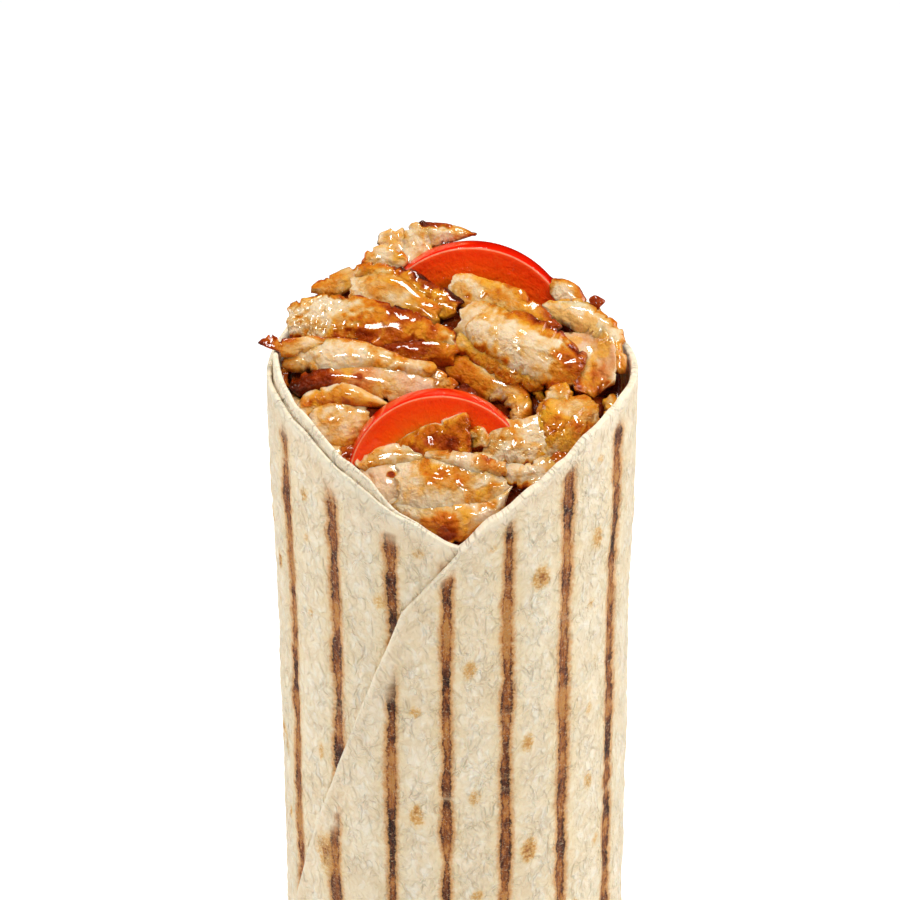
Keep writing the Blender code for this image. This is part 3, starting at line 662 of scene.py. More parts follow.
def grill_place(angle):
    """Where an angle lies on the map of grill marks: whole pitches fall on the marks."""
    turns = math.floor((angle - GRILL_ANGLES[0]) / 360)
    angle -= turns * 360
    stops = GRILL_ANGLES + (GRILL_ANGLES[0] + 360,)
    for k in range(len(GRILL_ANGLES)):
        if angle <= stops[k + 1]:
            share = (angle - stops[k]) / (stops[k + 1] - stops[k])
            return (k + share + turns * len(GRILL_ANGLES)) * GRILL_PITCH
    return 0.0


SPOTS_BEHIND = 95             # seeded toasted spots round the back
SPOTS_BELOW = 34              # and on the lower part of the front


def scattered_spots():
    """The toasted spots given for the front, and seeded ones for the rest of the roll."""
    rng = random.Random("toast")
    spots = list(TOAST_SPOTS)
    for _ in range(SPOTS_BEHIND):
        angle = rng.uniform(70, 290)
        drop = rng.uniform(-175, -4)
        spots.append((angle, drop, rng.uniform(1.2, 2.6), rng.uniform(1.6, 4.2), rng.uniform(0.35, 0.95)))
    for _ in range(SPOTS_BELOW):
        spots.append((rng.uniform(-65, 65), rng.uniform(-175, -96), rng.uniform(1.3, 2.6),
                      rng.uniform(1.8, 4.2), rng.uniform(0.4, 0.9)))
    return spots


def toast_at(spots, angle, z):
    """Toast and blister height from the spots near a place on the roll."""
    toast = 0.0
    lift = 0.0
    drop = (z - RIM_Z) / MM
    for centre, height, width, tall, strength in spots:
        dy = (drop - height) / tall
        if abs(dy) > 2.2:
            continue
        dx = math.radians(wrapped(angle - centre)) * ROLL_R / MM / width
        if abs(dx) > 2.2:
            continue
        reach = math.hypot(dx, dy) * 1.15
        reach += 0.25 * soft_noise(dx * 1.3 + centre, dy * 1.3, height)
        toast = max(toast, strength * smooth((1.25 - reach) / 1.1))
        lift += strength * (0.14 * smooth((1.3 - reach) / 0.7) - 0.12 * smooth(1 - abs(reach - 1.45) / 0.3))
    return toast, lift


def cell_relief(arc, height):
    """Soft puffed cells, partly run together, and small puckers, in millimetres."""
    wander_x = soft_noise(arc / 5, height / 5, 1.7) * 2.6
    wander_y = soft_noise(arc / 5, height / 5, 9.1) * 2.6
    spot = Vector(((arc + wander_x) / 3.4, (height + wander_y) / 5.0, 0.0))
    near, second = noise.voronoi(spot)[0][:2]
    shown = smooth(0.6 + 1.1 * soft_noise(arc / 7, height / 9, 3.0))
    puff = 1 - (1 - smooth((second - near) / 0.42)) * shown
    broad = soft_noise(arc / 11, height / 16, 4.0)
    pucker = 1 - 2.4 * abs(soft_noise(arc / 1.9, height / 2.9, 6.0))
    return 0.2 * puff + 0.22 * broad - 0.1 * pucker, puff


FAR = 1000.0                  # distance from an edge, in millimetres, where there is none near
AT_END = 60.0                 # the same for the grill marks at the folded end
BREAD_LAYERS = ("roll:uv", "grill:uv", "toast", "puff", "away", "edge", "stain")


class Column:
    """One column of the rolled sheet: how far round it lies, and how deep under the outer layer."""

    def __init__(self, turn, arc=0.0, depth=0.0):
        self.turn = turn
        self.depth = depth
        self.around = 360 * turn + math.degrees(arc * MM / ROLL_R)
        self.under = (smooth((turn - 0.7) / 0.3) + depth) * SHEET
        self.from_flap = turn * 2 * math.pi * ROLL_R / MM + max(arc, 0.0)
        self.ring = 0.0       # angle inside the roll, where the columns are spread evenly


class BreadShape:
    """Places every point of the rolled lavash, one closed shell in columns and rows."""

    FINE_TURN = 0.46          # share of the turn laid out finely, from the free edge on
    COARSE_TURN = 0.72
    FIRST_TURN = 0.0075       # where the flat of the sheet starts, behind its rounded free edge

    def __init__(self, settings):
        self.relief = settings.relief
        self.groove = settings.groove
        self.spots = scattered_spots()
        self.columns = self.column_list(settings.columns)
        self.rows = self.row_list(settings.rows)
        self.seam = (self.columns[0], self.columns[-1])

    def column_list(self, count):
        """The sheet's columns; the first and the last fall together."""
        coarse = int(count * 0.13)
        near = int((count - coarse) * 0.62)
        spans = ((self.FIRST_TURN, self.FINE_TURN, near), (self.FINE_TURN, self.COARSE_TURN, coarse),
                 (self.COARSE_TURN, 1.0, count - coarse - near))
        columns = [Column(0.0, arc, depth) for arc, depth in EDGE_PROFILE]
        for low, high, steps in spans:
            columns += [Column(low + (high - low) * k / steps) for k in range(steps)]
        columns += [Column(1.0), Column(1.0, EDGE_PROFILE[0][0])]
        for k, column in enumerate(columns):
            column.ring = V_ANGLE + 360 * k / (len(columns) - 1)
        return columns

    def row_list(self, count):
        """What places each row, and the row's share or number there."""
        low = int(count * 0.2)
        shares = [1 - 0.36 * k / low for k in range(low)]
        shares += [0.64 * (1 - k / (count - low)) for k in range(count - low + 1)]
        parts = (
            (self.foot, (0.0, 0.3, 0.6, 0.82, 1.0)), (self.round, (0.35, 0.75, 1.15)),
            (self.outside, shares), (self.rim, range(len(RIM_PROFILE))),
            (self.inside, INSIDE_SHARES), (self.floor, (0.0,)),
        )
        return [(part, share) for part, shares in parts for share in shares]

    def place(self, i, j):
        part, share = self.rows[j]
        return part(self.columns[i], share)

    def values(self, point, angle, toast=0.0, puff=0.6, away=0.0, edge=FAR, stain=0.0):
        """The point, its places on the two maps, and the rest of what the material asks for."""
        height = point.z / MM
        roll = (math.radians(angle) * ROLL_R / MM, height)
        return point, roll, (grill_place(angle), height), toast, puff, away, edge, stain

    def foot(self, column, share):
        """The folded end, with the step where the last fold is tucked under."""
        angle = FLAP_FOOT_ANGLE + column.around
        radius = (roll_radius(angle, 0) - column.under - END_ROUND) * share
        flat = polar(radius, angle, 0.0)
        tucked = smooth((FOLD_EDGE_X - flat.x) / (0.8 * MM)) * smooth((1 - share) / 0.12)
        folds = abs(ring_noise(90 - angle, 2.5, share * 2))
        folds *= smooth(share / 0.3) * smooth((1 - share) / 0.1)
        point = Vector((flat.x, flat.y, FOLD_RECESS * tucked + FOLD_HEIGHT * folds))
        return (point, *self.values(flat, angle, away=AT_END)[1:])

    def round(self, column, turned):
        """The rounded edge of the folded end."""
        angle = FLAP_FOOT_ANGLE + column.around
        z = END_ROUND * (1 - math.cos(turned))
        radius = roll_radius(angle, z) - column.under - END_ROUND * (1 - math.sin(turned))
        return self.values(polar(radius, angle, z), angle, away=AT_END)

    def outside(self, column, share):
        """The roll's outside, from the rim down: puffed cells, toasted spots and pressed grill marks."""
        top_angle = V_ANGLE + column.around
        top = rim_z(top_angle) - 0.9 * MM + self.rim_wave(top_angle)
        z = top + (END_ROUND - top) * share
        edge_z = RIM_Z + V_DROP + (END_ROUND - RIM_Z - V_DROP) * share
        angle = self.free_edge(edge_z, share) + column.around
        from_rim = (top - z) / MM
        lift = 0.22 * MM * smooth((4.0 - column.from_flap) / 4.0) * (1 - column.depth)
        lift *= 0.6 + 0.8 * soft_noise(edge_z * 60, 12.0)
        radius = roll_radius(angle, z) - column.under + lift
        arc, height = math.radians(angle) * ROLL_R / MM, z / MM
        relief, puff = cell_relief(arc, height)
        toast, blister = toast_at(self.spots, angle, z)
        calm = smooth((from_rim - 0.2) / 1.8) * smooth((column.from_flap - 0.2) / 2.2)
        calm *= smooth(share * 40) * smooth((1 - share) / 0.04)
        near_flap = column.from_flap if column.turn < 0.5 else FAR
        away = min(from_rim, near_flap * 0.62)
        pressed = pressed_share(angle) * smooth((away - 2.5) / 3.0)
        pressed *= 0.7 + 0.5 * soft_noise(arc / 9, height / 7, 2.0)
        radius += ((relief * self.relief + blister) * calm - pressed * self.groove) * MM
        if column in self.seam:
            radius = roll_radius(angle, z) - SHEET
        return self.values(polar(radius, angle, z), angle, toast, puff, away, min(from_rim, near_flap))

    def free_edge(self, z, share):
        """Angle of the free edge, made slightly uneven away from its two ends."""
        wave = 0.55 * soft_noise(z * 110, 3.1) + 0.2 * soft_noise(z * 400, 7.7)
        return edge_angle(z) + wave * smooth((0.98 - share) / 0.05) * smooth(share / 0.03)

    def rim_wave(self, angle):
        """Small unevenness of the torn rim."""
        return (0.3 * ring_noise(angle, 6.4, 2.0) + 0.14 * ring_noise(angle, 18.5, 5.0)) * MM

    def rim(self, column, index):
        """The rim of the mouth, over two layers that part on the left."""
        share, height, ledge_share = RIM_PROFILE[index]
        inward = smooth(index / (len(RIM_PROFILE) - 1))
        outer = V_ANGLE + column.around
        angle = outer + (column.ring - outer) * inward
        parted = line_value(PARTED_LINE, wrapped(angle))
        ledge = line_value(LEDGE_LINE, wrapped(angle)) * ledge_share
        ledge += 0.35 * soft_noise(angle / 6, 8.0) * ledge_share * parted
        rounded = ((1 - abs(2 * share - 1) ** 3) ** (1 / 3) - 1) * 0.6
        lift = rounded + (height - rounded) * parted
        z = rim_z(angle) + self.rim_wave(angle) + (lift + ledge * parted) * MM
        radius = roll_radius(angle, z) - column.under * (1 - inward) * 0.8 - wall(angle) * share
        return self.values(polar(radius, angle, z), angle, edge=abs(share - 0.2))

    def inside(self, column, share):
        """The inside of the roll, with juice on its right."""
        angle = column.ring
        turned = wrapped(angle)
        top = brim_z(angle) + self.rim_wave(angle) - 0.5 * MM
        z = top + (FLOOR_Z - top) * share
        wrinkle = ring_noise(angle, 8.2, z * 160) + 0.5 * ring_noise(angle, 23.0, z * 420)
        radius = roll_radius(angle, z) - wall(angle) - 0.16 * MM * (wrinkle + 1) * smooth(share * 60)
        stain = smooth((turned - 38) / 22) * smooth((140 - turned) / 30) * smooth(share * 55)
        return self.values(polar(radius, angle, z), angle, stain=stain, edge=30 * share)

    def floor(self, column, share):
        return self.values(Vector((0, 0, FLOOR_Z)), column.ring)


def pressed_share(angle):
    """How deeply the nearest grill mark is pressed in at an angle, from 0 to 1."""
    across = grill_place(angle) / GRILL_PITCH
    return smooth((1.5 - abs(across - round(across)) * GRILL_PITCH) / 1.1)


def bread_material(settings):
    material, w, shader = new_material("Lavash Bread")
    roll, grill = map(w.uv, ("roll", "grill"))
    toast, puff, away, edge, stain = map(w.attribute, ("toast", "puff", "away", "edge", "stain"))

    broad = w.group("Mottle", {"Vector": roll, "Size": 26.0})
    squat = w.stretched(roll, (1, 0.6, 1))
    close = w.group("Mottle", {"Vector": squat, "Size": 4.0, "Contrast": 1.8})
    cream = w.blend(broad["Patches"], solid(settings.cream_shade), solid(settings.cream))
    cream = w.coated(cream, (w.band(close["Patches"], 0.45, 0.8) * 0.3, 247, 238, 220),
                     (w.band(close["Patches"], 0.48, 0.2) * 0.2, 225, 198, 152))

    wandering = w.warped(w.stretched(roll, (1, 0.72, 1)), 0.4, 2.0)
    cells = w.cells(wandering, 0.32)
    small_cells = w.cells(w.warped(wandering, 1.1, 0.6), 0.72)
    shown = w.band(w.noise(roll, 0.14, 3.0), 0.36, 0.6)
    small_shown = w.band(w.noise(roll, 0.23, 3.0), 0.4, 0.62)
    puffs = w.band(cells, 0.0, 0.17) * shown
    small_puffs = w.band(small_cells, 0.0, 0.2) * small_shown
    # painted shade along the creases between the puffed cells and in their hollows
    crease_shade = w.band(cells, 0.0, 0.045, 1.0, 0.0) * shown
    crease_shade += w.band(small_cells, 0.0, 0.06, 1.0, 0.0) * small_shown * 0.6
    crease_shade *= w.band(edge, 0.8, 3.0)
    hollow_shade = w.band(puff, 0.75, 0.1) * 0.14
    billows = abs(w.noise(wandering, 0.5, 1.0, 0.5) - 0.5)
    ripples = abs(w.noise(wandering, 1.05, 1.0, 0.5) - 0.5)
    embossed = w.band(billows, 0.0, 0.2) * 0.5 + w.band(ripples, 0.0, 0.18) * 0.2
    pores = w.band(w.noise(roll, 2.6, 2.0), 0.7, 0.8)
    # over the cream: the painted crease and hollow shade, a painted highlight on the embossed tops, painted
    # shade in the embossed valleys, and the bread's own pores
    cream = w.coated(
        cream, (crease_shade * 0.1 + hollow_shade, 206, 172, 120),
        (w.band(embossed, 0.3, 0.68, 0.0, 0.45), 253, 246, 229),
        (w.band(embossed, 0.28, 0.0, 0.0, 0.26), 226, 198, 150), (pores * 0.3, 186, 150, 104))

    grain = w.noise(roll, 1.3, 4.0, 0.7)
    spotty = toast * w.band(grain, 0.25, 0.7, 0.3, 1.3)
    browned = w.ramp(spotty, (
        (0.0, paint(242, 222, 178)), (0.3, paint(236, 200, 140)), (0.6, paint(222, 168, 92)),
        (0.85, paint(200, 134, 60)), (1.0, paint(170, 102, 44)),
    ))
    bread = w.blend(w.band(spotty, 0.0, 0.55), cream, browned)

    marks, dark, halo, glow = grill_marks(w, grill, away)
    bread = w.coated(bread, (glow * 0.4, 238, 208, 146), (halo * 0.85, 214, 142, 56))
    mark_colour = w.ramp(dark, (
        (0.0, paint(226, 156, 76)), (0.25, paint(202, 118, 44)), (0.5, paint(154, 82, 28)),
        (0.75, paint(102, 46, 15)), (1.0, paint(52, 20, 7)),
    ))
    bread = w.blend(marks, bread, mark_colour)
    hairs = w.noise(w.stretched(w.warped(grill, 0.8, 1.2), (1.0, 1.6, 1)), 1.7, 3.0, 0.6)
    # pale flakes over the marks, a warmer band near the edges, and a lighter band right at the flap's edge
    # and along the rim: the cut edge's own paler colour, and painted highlight on the rounded rim
    bread = w.coated(bread, (w.band(hairs, 0.57, 0.65) * marks * 0.7, 226, 190, 146),
                     (w.band(edge, 6.0, 1.5, 0.0, 0.4), 236, 212, 174),
                     (w.band(edge, 0.2, 1.6, 1.0, 0.0) * 0.6, 247, 234, 208))
    sauce = stain * w.band(w.noise(roll, 0.35, 4.0, 0.6), 0.2, 0.55)
    bread = w.blend(sauce, bread, w.ramp(w.noise(w.stretched(roll, (1, 0.5, 1)), 0.5, 3.0), (
        (0.24, paint(186, 96, 18)), (0.38, paint(234, 164, 50)), (0.54, paint(246, 200, 100)),
        (0.7, paint(250, 224, 158)),
    )))
    rough = marks * -0.12 + w.band(grain, 0.3, 0.7, 0.44, 0.6)

    flour = w.noise(roll, 1.9, 5.0, 0.65)
    height = flour * 0.4 + puffs * 0.85
    height += small_puffs * 0.5
    height += embossed * w.band(edge, 0.5, 2.5) * 0.75
    fibres = w.noise(w.stretched(roll, (2.6, 0.5, 1)), 2.0, 4.0, 0.7)
    height += marks * (fibres * 1.3 - 0.9)
    w.finish(shader, {
        "Base Color": bread, "Roughness": rough + sauce * -0.4, "Normal": w.bump(height, 0.0005),
        "Specular IOR Level": 0.5, "Sheen Weight": 0.08, "Sheen Roughness": 0.5,
        "Subsurface Weight": 0.16, "Subsurface Radius": (1.0, 0.6, 0.35), "Subsurface Scale": 0.0015,
    })
    return material


def grill_marks(w, grill, away):
    """Masks for the grill marks: their core, how dark it is, its toasted edge and the glow round it."""
    across = w.node("ShaderNodeSeparateXYZ", {"Vector": grill}, "X")
    along = w.node("ShaderNodeSeparateXYZ", {"Vector": grill}, "Y")
    pitch = across / GRILL_PITCH
    which = w.math("FLOOR", pitch + 0.5)
    spot = w.node("ShaderNodeCombineXYZ", {"X": which * 37.0, "Y": along})
    wobble = w.noise(spot, 0.07, 2.0) - 0.5
    offset = (pitch - which) * GRILL_PITCH
    offset = abs(offset + wobble * 1.5)
    ragged = w.noise(w.stretched(grill, (1.2, 0.9, 1)), 1.5, 4.0, 0.65)
    width = w.noise(spot, 0.14, 3.0, 0.65) * 2.35 - 0.32
    rough_offset = offset + (ragged - 0.5) * 1.4
    start = w.band(away + (w.noise(spot, 0.3, 2.0) - 0.5) * 5.0, 2.2, 5.0)
    strength = start * w.band(w.noise(spot, 0.13, 4.0, 0.75), 0.28, 0.45, 0.25, 1.0)
    core = w.band(rough_offset, width + 0.18, width - 0.2) * strength
    halo = w.band(rough_offset, width + 1.25, width) * strength
    glow = w.band(offset, width + 3.6, width + 0.3) * start
    depth = w.noise(spot, 0.09, 2.0, 0.5)
    blotch = w.noise(w.stretched(grill, (1.0, 0.5, 1)), 0.9, 3.0, 0.6)
    fibres = w.noise(w.stretched(grill, (2.4, 0.3, 1)), 1.6, 4.0, 0.75)
    rails = w.band(abs(rough_offset - width * 0.85), 0.34, 0.0)
    dark = (depth - 0.5) * 2.8 + (fibres - 0.5) * 1.5
    dark += (blotch - 0.5) * 1.5 + rails * 0.36 + 0.38
    return core, dark, halo, glow


# ---------------------------------------------------------------- chicken

class SliceShape:
    """One slice of chicken: a torn flat slab, with crumpled skin where it is roasted."""

    TOP = 0.6                 # share of the points round a section that lie on its upper side
    EDGE = 0.45               # rounding of its edges, in millimetres

    def __init__(self, name, form, settings, cell):
        path, widths, self.lean, self.cup, self.thick = form[:5]
        self.roasts = form[5:8]
        self.upper, self.lower, self.tint = form[8:11]
        self.crumples = form[11:]
        self.patches = PATCHES.get(name, ())
        self.spine = [slope_point(*point) for point in path]
        self.widths = blunted(widths)
        self.seed = random.Random(name).uniform(0, 90)
        self.length = sum((b - a).length for a, b in zip(self.spine, self.spine[1:])) / MM
        self.along = max(16, round(self.length / cell))
        self.around = max(26, round(max(widths) * 2.4 / cell))
        self.crumple_mm = settings.crumple
        self.ragged_mm = settings.ragged
        self.frames = [self.frame_at(j / self.along) for j in range(self.along + 1)]

    def noise(self, ahead, across, seed=0.0):
        """Noise of the slice's own, over its length and width."""
        return soft_noise(ahead, across, self.seed + seed)

    def frame_at(self, t):
        """Place, direction, side, upward direction and half width at a share of the length."""
        here = catmull(self.spine, t)
        ahead = catmull(self.spine, min(t + 0.02, 1)) - catmull(self.spine, max(t - 0.02, 0))
        along = ahead.normalized()
        side = SLOPE_UP.cross(along).normalized()
        tilt = Matrix.Rotation(math.radians(self.lean), 3, along)
        return here, along, tilt @ side, tilt @ along.cross(side), catmull(self.widths, t) / 2

    def section(self, i):
        """Place across from -1 to 1, crowded towards the edges, and 1 for the upper face or -1."""
        q = i / self.around
        face = 1 if q < self.TOP else -1
        v = -1 + 2 * q / self.TOP if face > 0 else 1 - 2 * (q - self.TOP) / (1 - self.TOP)
        return 0.6 * v + 0.4 * math.sin(v * math.pi / 2), face

    def place(self, i, j):
        v, face = self.section(i)
        t = j / self.along
        here, along, side, up, half = self.frames[j]
        ahead = t * self.length
        end = min(t, 1 - t) * self.length
        shut = rounded_off(end / BLUNT, 2.6)
        hand = 1 if v > 0 else -1
        reach = max(half + self.tear(ahead, hand), 0.35) * (0.45 + 0.55 * shut)
        across = v * reach
        tall = self.thick * rounded_off((1 - abs(v)) * reach / self.EDGE, 3) * (0.1 + 0.9 * shut)
        layer, ridge = self.layers(ahead, across)
        wrinkle, gate = self.wrinkles(ahead, across, self.crumple_at(t))
        height = self.middle(v, ahead, across, hand) + face * tall / 2
        height += (layer + wrinkle) * (1 if face > 0 else 0.5) * (0.2 + 0.8 * shut)
        point = here + (side * across + up * height + along * self.frill(t, across, half, end)) * MM
        roast = self.roast_at(t, v, ahead, across, reach) + self.patched(t, v, ahead, across)
        # the lip's roast, then painted shade on the slice's underside, added to the roast
        roast += LIP_ROAST * ridge + UNDERSIDE_SHADE * (face < 0)
        # painted shade for slices deep in the heap, added to the roast
        roast += BURIED_SHADE * smooth((BURIED - depth_on_slope(point)) / 4.0)
        tint = self.tint * smooth(0.6 + self.noise(ahead / 5, across / 4, 70))
        grain = (ahead + self.seed * 13, across + self.seed * 7)
        return kept_inside(point), grain, min(max(roast, 0.0), 1.0), tint, gate, wrinkle

    def tear(self, ahead, hand):
        """How far the edge stands out from the slice's own outline, in millimetres."""
        s = self.seed + hand * 5
        rough = 0.3 + 0.7 * self.crumple_at(ahead / self.length)
        torn = 0.9 * soft_noise(ahead / 5.0, s) + 0.6 * rough * soft_noise(ahead / 1.9, s + 2)
        nick = smooth((soft_noise(ahead / 1.1, s + 6) - 0.28) / 0.12)
        return (torn + 0.35 * rough * soft_noise(ahead / 0.75, s + 4) - 0.7 * nick) * self.ragged_mm

    def frill(self, t, across, half, end):
        """How far the torn end runs on along the slice."""
        s = self.seed + 20 + round(t)
        uneven = soft_noise(across / 1.8, s) + 0.4 * soft_noise(across / 0.7, s + 3)
        return uneven * (0.6 + 0.24 * half) * smooth((2.2 - end) / 2.2) * (1 if t > 0.5 else -1)

    def middle(self, v, ahead, across, hand):
        """Height of the slab's middle: cupped, and slightly waved."""
        height = -self.thick / 2 - self.cup * v * v
        height += 0.9 * self.noise(ahead / 9.0, across / 8.0, 40) * min(1, self.length / 16)
        return height + 0.8 * soft_noise(ahead / 4.2, self.seed + hand * 11) * abs(v) ** 3

    def crumple_at(self, t):
        start, end = self.crumples
        return start + (end - start) * smooth((t - 0.3) / 0.3)

    def layers(self, ahead, across):
        """Torn layers of meat that end in low crisp steps, and how near each step's lip is."""
        climb = 0.3 + 1.1 * self.noise(ahead / 13, across / 7.0, 61)
        climb += 0.22 * self.noise(ahead / 2.6, across / 2.2)
        step = math.floor(climb)
        part = climb - step
        return 0.42 * (step + smooth((part - 0.84) / 0.16)), smooth(1 - abs(part - 0.9) / 0.1)

    def wrinkles(self, ahead, across, crumple):
        """Crumpled skin with sharp folds at two sizes, in millimetres, and where it is crumpled."""
        gate = smooth(0.25 + 0.5 * crumple + 1.1 * self.noise(ahead / 6, across / 5, 30)) * crumple
        wx = ahead + 1.1 * self.noise(ahead / 1.9, across / 1.9, 3)
        wy = across + 1.1 * self.noise(ahead / 1.9, across / 1.9, 8)
        folds = 1 - abs(self.noise(wx / 1.6, wy / 1.3)) * 3.4
        fine = 1 - abs(self.noise(wx / 0.8, wy / 0.7, 50)) * 3.0
        swell = 0.12 * self.noise(ahead / 3.2, across / 2.4, 60)
        return ((0.19 * folds + 0.07 * fine) * gate + swell) * self.crumple_mm, gate

    def patched(self, t, v, ahead, across):
        """Change of roast from the slice's patches."""
        roast = 0.0
        for at_t, at_v, long, wide, change in self.patches:
            away = math.hypot((t - at_t) * self.length / long, (v - at_v) / wide)
            away -= 0.5 * self.noise(ahead / 1.2, across / 1.2)
            roast += change * smooth((1.3 - away) / 0.7)
        return roast

    def roast_at(self, t, v, ahead, across, reach):
        """Roast from the slice's own colours, with a dark lip and a softer fringe at roasted edges."""
        s = self.seed
        roast = catmull(self.roasts, t)
        for share, hand in ((self.upper, 1), (self.lower, -1)):
            inward = (1 - v * hand) * reach
            lip = 0.3 + 1.5 * soft_noise(ahead / 2.6, s + 77 + hand)
            fringe = 0.8 + 2.2 * soft_noise(ahead / 4.0, s + 81 + hand)
            roast += share * (0.65 * smooth((lip + 0.3 - inward) / 0.4)
                              + 0.45 * smooth((fringe + 0.8 - inward) / 1.3))
        roast += 0.15 * (smooth(0.5 + self.noise(ahead / 5.5, across / 4.4, 90) * 2.6) - 0.5)
        return roast + 0.1 * self.noise(ahead / 1.5, across / 1.3, 95)


def rounded_off(t, power):
    """Height of a rounded edge, from 0 at the edge to 1 where t reaches 1."""
    return (1 - (1 - min(t, 1)) ** power) ** (1 / power)


def blunted(widths):
    """Widths with torn, blunt ends in place of narrow ones, unless an end is meant to be pointed."""
    made = [width * 1.1 for width in widths]
    for end, beside in ((0, 1), (-1, -2)):
        if widths[end] > POINTED:
            made[end] = max(made[end], 0.7 * made[beside])
    return made


def depth_on_slope(point):
    """Height of a point above the heap's sloping plane, in millimetres."""
    return (point - Vector((0, 0, RIM_Z))).dot(SLOPE_UP) / MM


def kept_inside(point):
    """The point moved in, if need be, so that it stays inside the rolled bread."""
    angle = math.degrees(math.atan2(point.x, -point.y))
    radius = math.hypot(point.x, point.y)
    limit = roll_radius(angle, point.z) - wall(angle) - SLICE_ROOM
    held = smooth((brim_z(angle) + 1.4 * MM - point.z) / (1.4 * MM))
    if radius > limit and held > 0:
        wanted = limit + (radius - limit) * (1 - held)
        point = Vector((point.x * wanted / radius, point.y * wanted / radius, point.z))
    return point


SLICE_LAYERS = ("grain:uv", "roast", "tint", "crumple", "fold")


def under_slices():
    """Seeded slices that fill the heap below the laid ones: name and form of each."""
    rng = random.Random("under")
    made = {}
    while len(made) < UNDER_SLICES:
        x, s = rng.uniform(-27, 27), rng.uniform(-30, 26)
        if math.hypot(x, s * 0.9) > 27 or s > 19 or x + s > 28 or s - x > 34:
            continue
        reach = rng.uniform(3, 6)
        turn = rng.gauss(0, 0.5)
        dx, ds = reach * math.cos(turn), reach * math.sin(turn)
        up = rng.uniform(-3.0, -1.0)
        path = ((x - dx, s - ds, up - 0.5), (x, s, up + 0.6), (x + dx, s + ds, up - 0.5))
        wide = rng.uniform(3.0, 5.5)
        form = (path, (wide * 0.7, wide, wide * 0.7), rng.uniform(5, 35), rng.uniform(0.5, 1.6), 2.2)
        # darker roast than the laid slices, partly painted shade for the gaps beneath them
        roast = rng.uniform(0.35, 0.72)
        finish = (roast, roast + rng.uniform(-0.1, 0.15), roast, 0.25, 0.15, 0.05,
                  rng.uniform(0.2, 0.8), rng.uniform(0.2, 0.8))
        made[f"under_{len(made)}"] = form + finish
    return made


def chicken_pieces(name, forms, settings, cell):
    """Slices shaped one by one and joined into one piece."""
    slices = []
    for each, form in forms.items():
        shape = SliceShape(each, form, settings, cell)
        slices.append(shaped_grid(each, shape.around, shape.along, shape.place, SLICE_LAYERS))
        close_shell(slices[-1])
    return joined(slices, name)


def meat_material(name, settings, tone=0.0, shine=0.5):
    """Roasted chicken. Tone moves the whole roast darker; shine is how much juice lies on it."""
    material, w, shader = new_material(name)
    grain = w.uv("grain")
    roast, tint, crumple, fold = map(w.attribute, ("roast", "tint", "crumple", "fold"))

    patches = w.group("Mottle", {"Vector": grain, "Size": 3.6, "Contrast": 1.3})
    close = w.group("Mottle", {"Vector": grain, "Size": 1.1, "Contrast": 1.2})
    level = roast + (patches["Patches"] - 0.5) * 0.38
    level += (close["Patches"] - 0.5) * 0.24
    # painted shade in the crumpled skin's fold valleys, and paler ridges as a painted highlight
    level += crumple * w.band(fold, 0.2, -0.25, -0.05, 0.2)
    level += tone
    meat = w.ramp(level, (
        (0.0, solid(settings.pale)), (0.15, paint(214, 164, 92)), (0.28, paint(208, 128, 28)),
        (0.42, solid(settings.golden)), (0.56, solid(settings.roasted)),
        (0.7, paint(138, 42, 2)), (0.84, paint(98, 24, 1)), (1.0, solid(settings.charred)),
    ))
    fibres = w.noise(w.stretched(grain, (0.3, 1.5, 1)), 1.9, 3.0, 0.6)
    pale_fibres = w.band(fibres, 0.54, 0.74) * w.band(level, 0.4, 0.05, 0.0, 0.4)
    dark_fibres = w.band(fibres, 0.44, 0.26) * w.band(level, 0.6, 0.1, 0.05, 0.26)
    pink = w.band(tint, 0.0, 1.0) * w.band(level, 0.6, 0.1, 0.0, 0.9)
    fat = w.noise(grain, 0.2, 3.0, 0.5, 0.6) + w.band(tint, 0.0, -1.0, 0.0, 0.22)
    fat = w.band(fat, 0.54, 0.68) * w.band(level, 0.7, 0.3, 0.0, 0.7)
    specks = close["Specks"] * w.band(level, 0.02, 0.3, 0.12, 0.75)
    meat = w.coated(meat, (pale_fibres, 244, 224, 192), (dark_fibres, 206, 146, 84), (pink, 216, 148, 120),
                    (fat, 226, 158, 34), (specks, 112, 38, 6))

    wet = w.group("Wet Film", {"Vector": grain, "Wrinkle Size": 1.2, "Cover": 0.3 + shine * 0.4})
    film = w.math("MAXIMUM", wet["Film"], w.band(crumple, 0.25, 0.7))
    coat = w.math("MAXIMUM", wet["Film"] * 0.75, w.band(crumple, 0.15, 0.6))
    height = wet["Crinkle"] * w.band(crumple, 0.05, 0.6, -0.3, -1.3) + fibres * 0.1
    height += wet["Grain"] * w.band(level, 0.1, 0.45, 2.2, 3.6)
    w.finish(shader, {
        "Base Color": meat, "Coat Weight": coat * w.band(level, 0.55, 0.95, 1.0, 0.5),
        "Roughness": w.band(film, 0.0, 1.0, 0.45, 0.32), "Normal": w.bump(height, 0.0003),
        "Coat Roughness": 0.07, "Coat IOR": 1.55, "Specular IOR Level": 0.15,
        "Specular Tint": paint(255, 226, 190), "Subsurface Weight": 0.28,
        "Subsurface Radius": (1.0, 0.45, 0.2), "Subsurface Scale": 0.002,
    })
    return material


def heap_top(radius, angle):
    """Height of the filling's core: the sloping plane, drawn down to the rim all round."""
    y = -radius * math.cos(math.radians(angle))
    plane = RIM_Z + y * math.tan(HEAP_SLOPE) - CORE_SINK
    room = ROLL_R - wall(angle) - radius
    brim = rim_z(angle) + room * BRIM_STEEPNESS - BRIM_DROP
    return min(plane, brim)


CORE_COLUMNS = 120
CORE_ROWS = 44
CORE_WALL_ROWS = 6
CORE_WALL_TOP = 150 * MM      # the core's side stands straight up to here


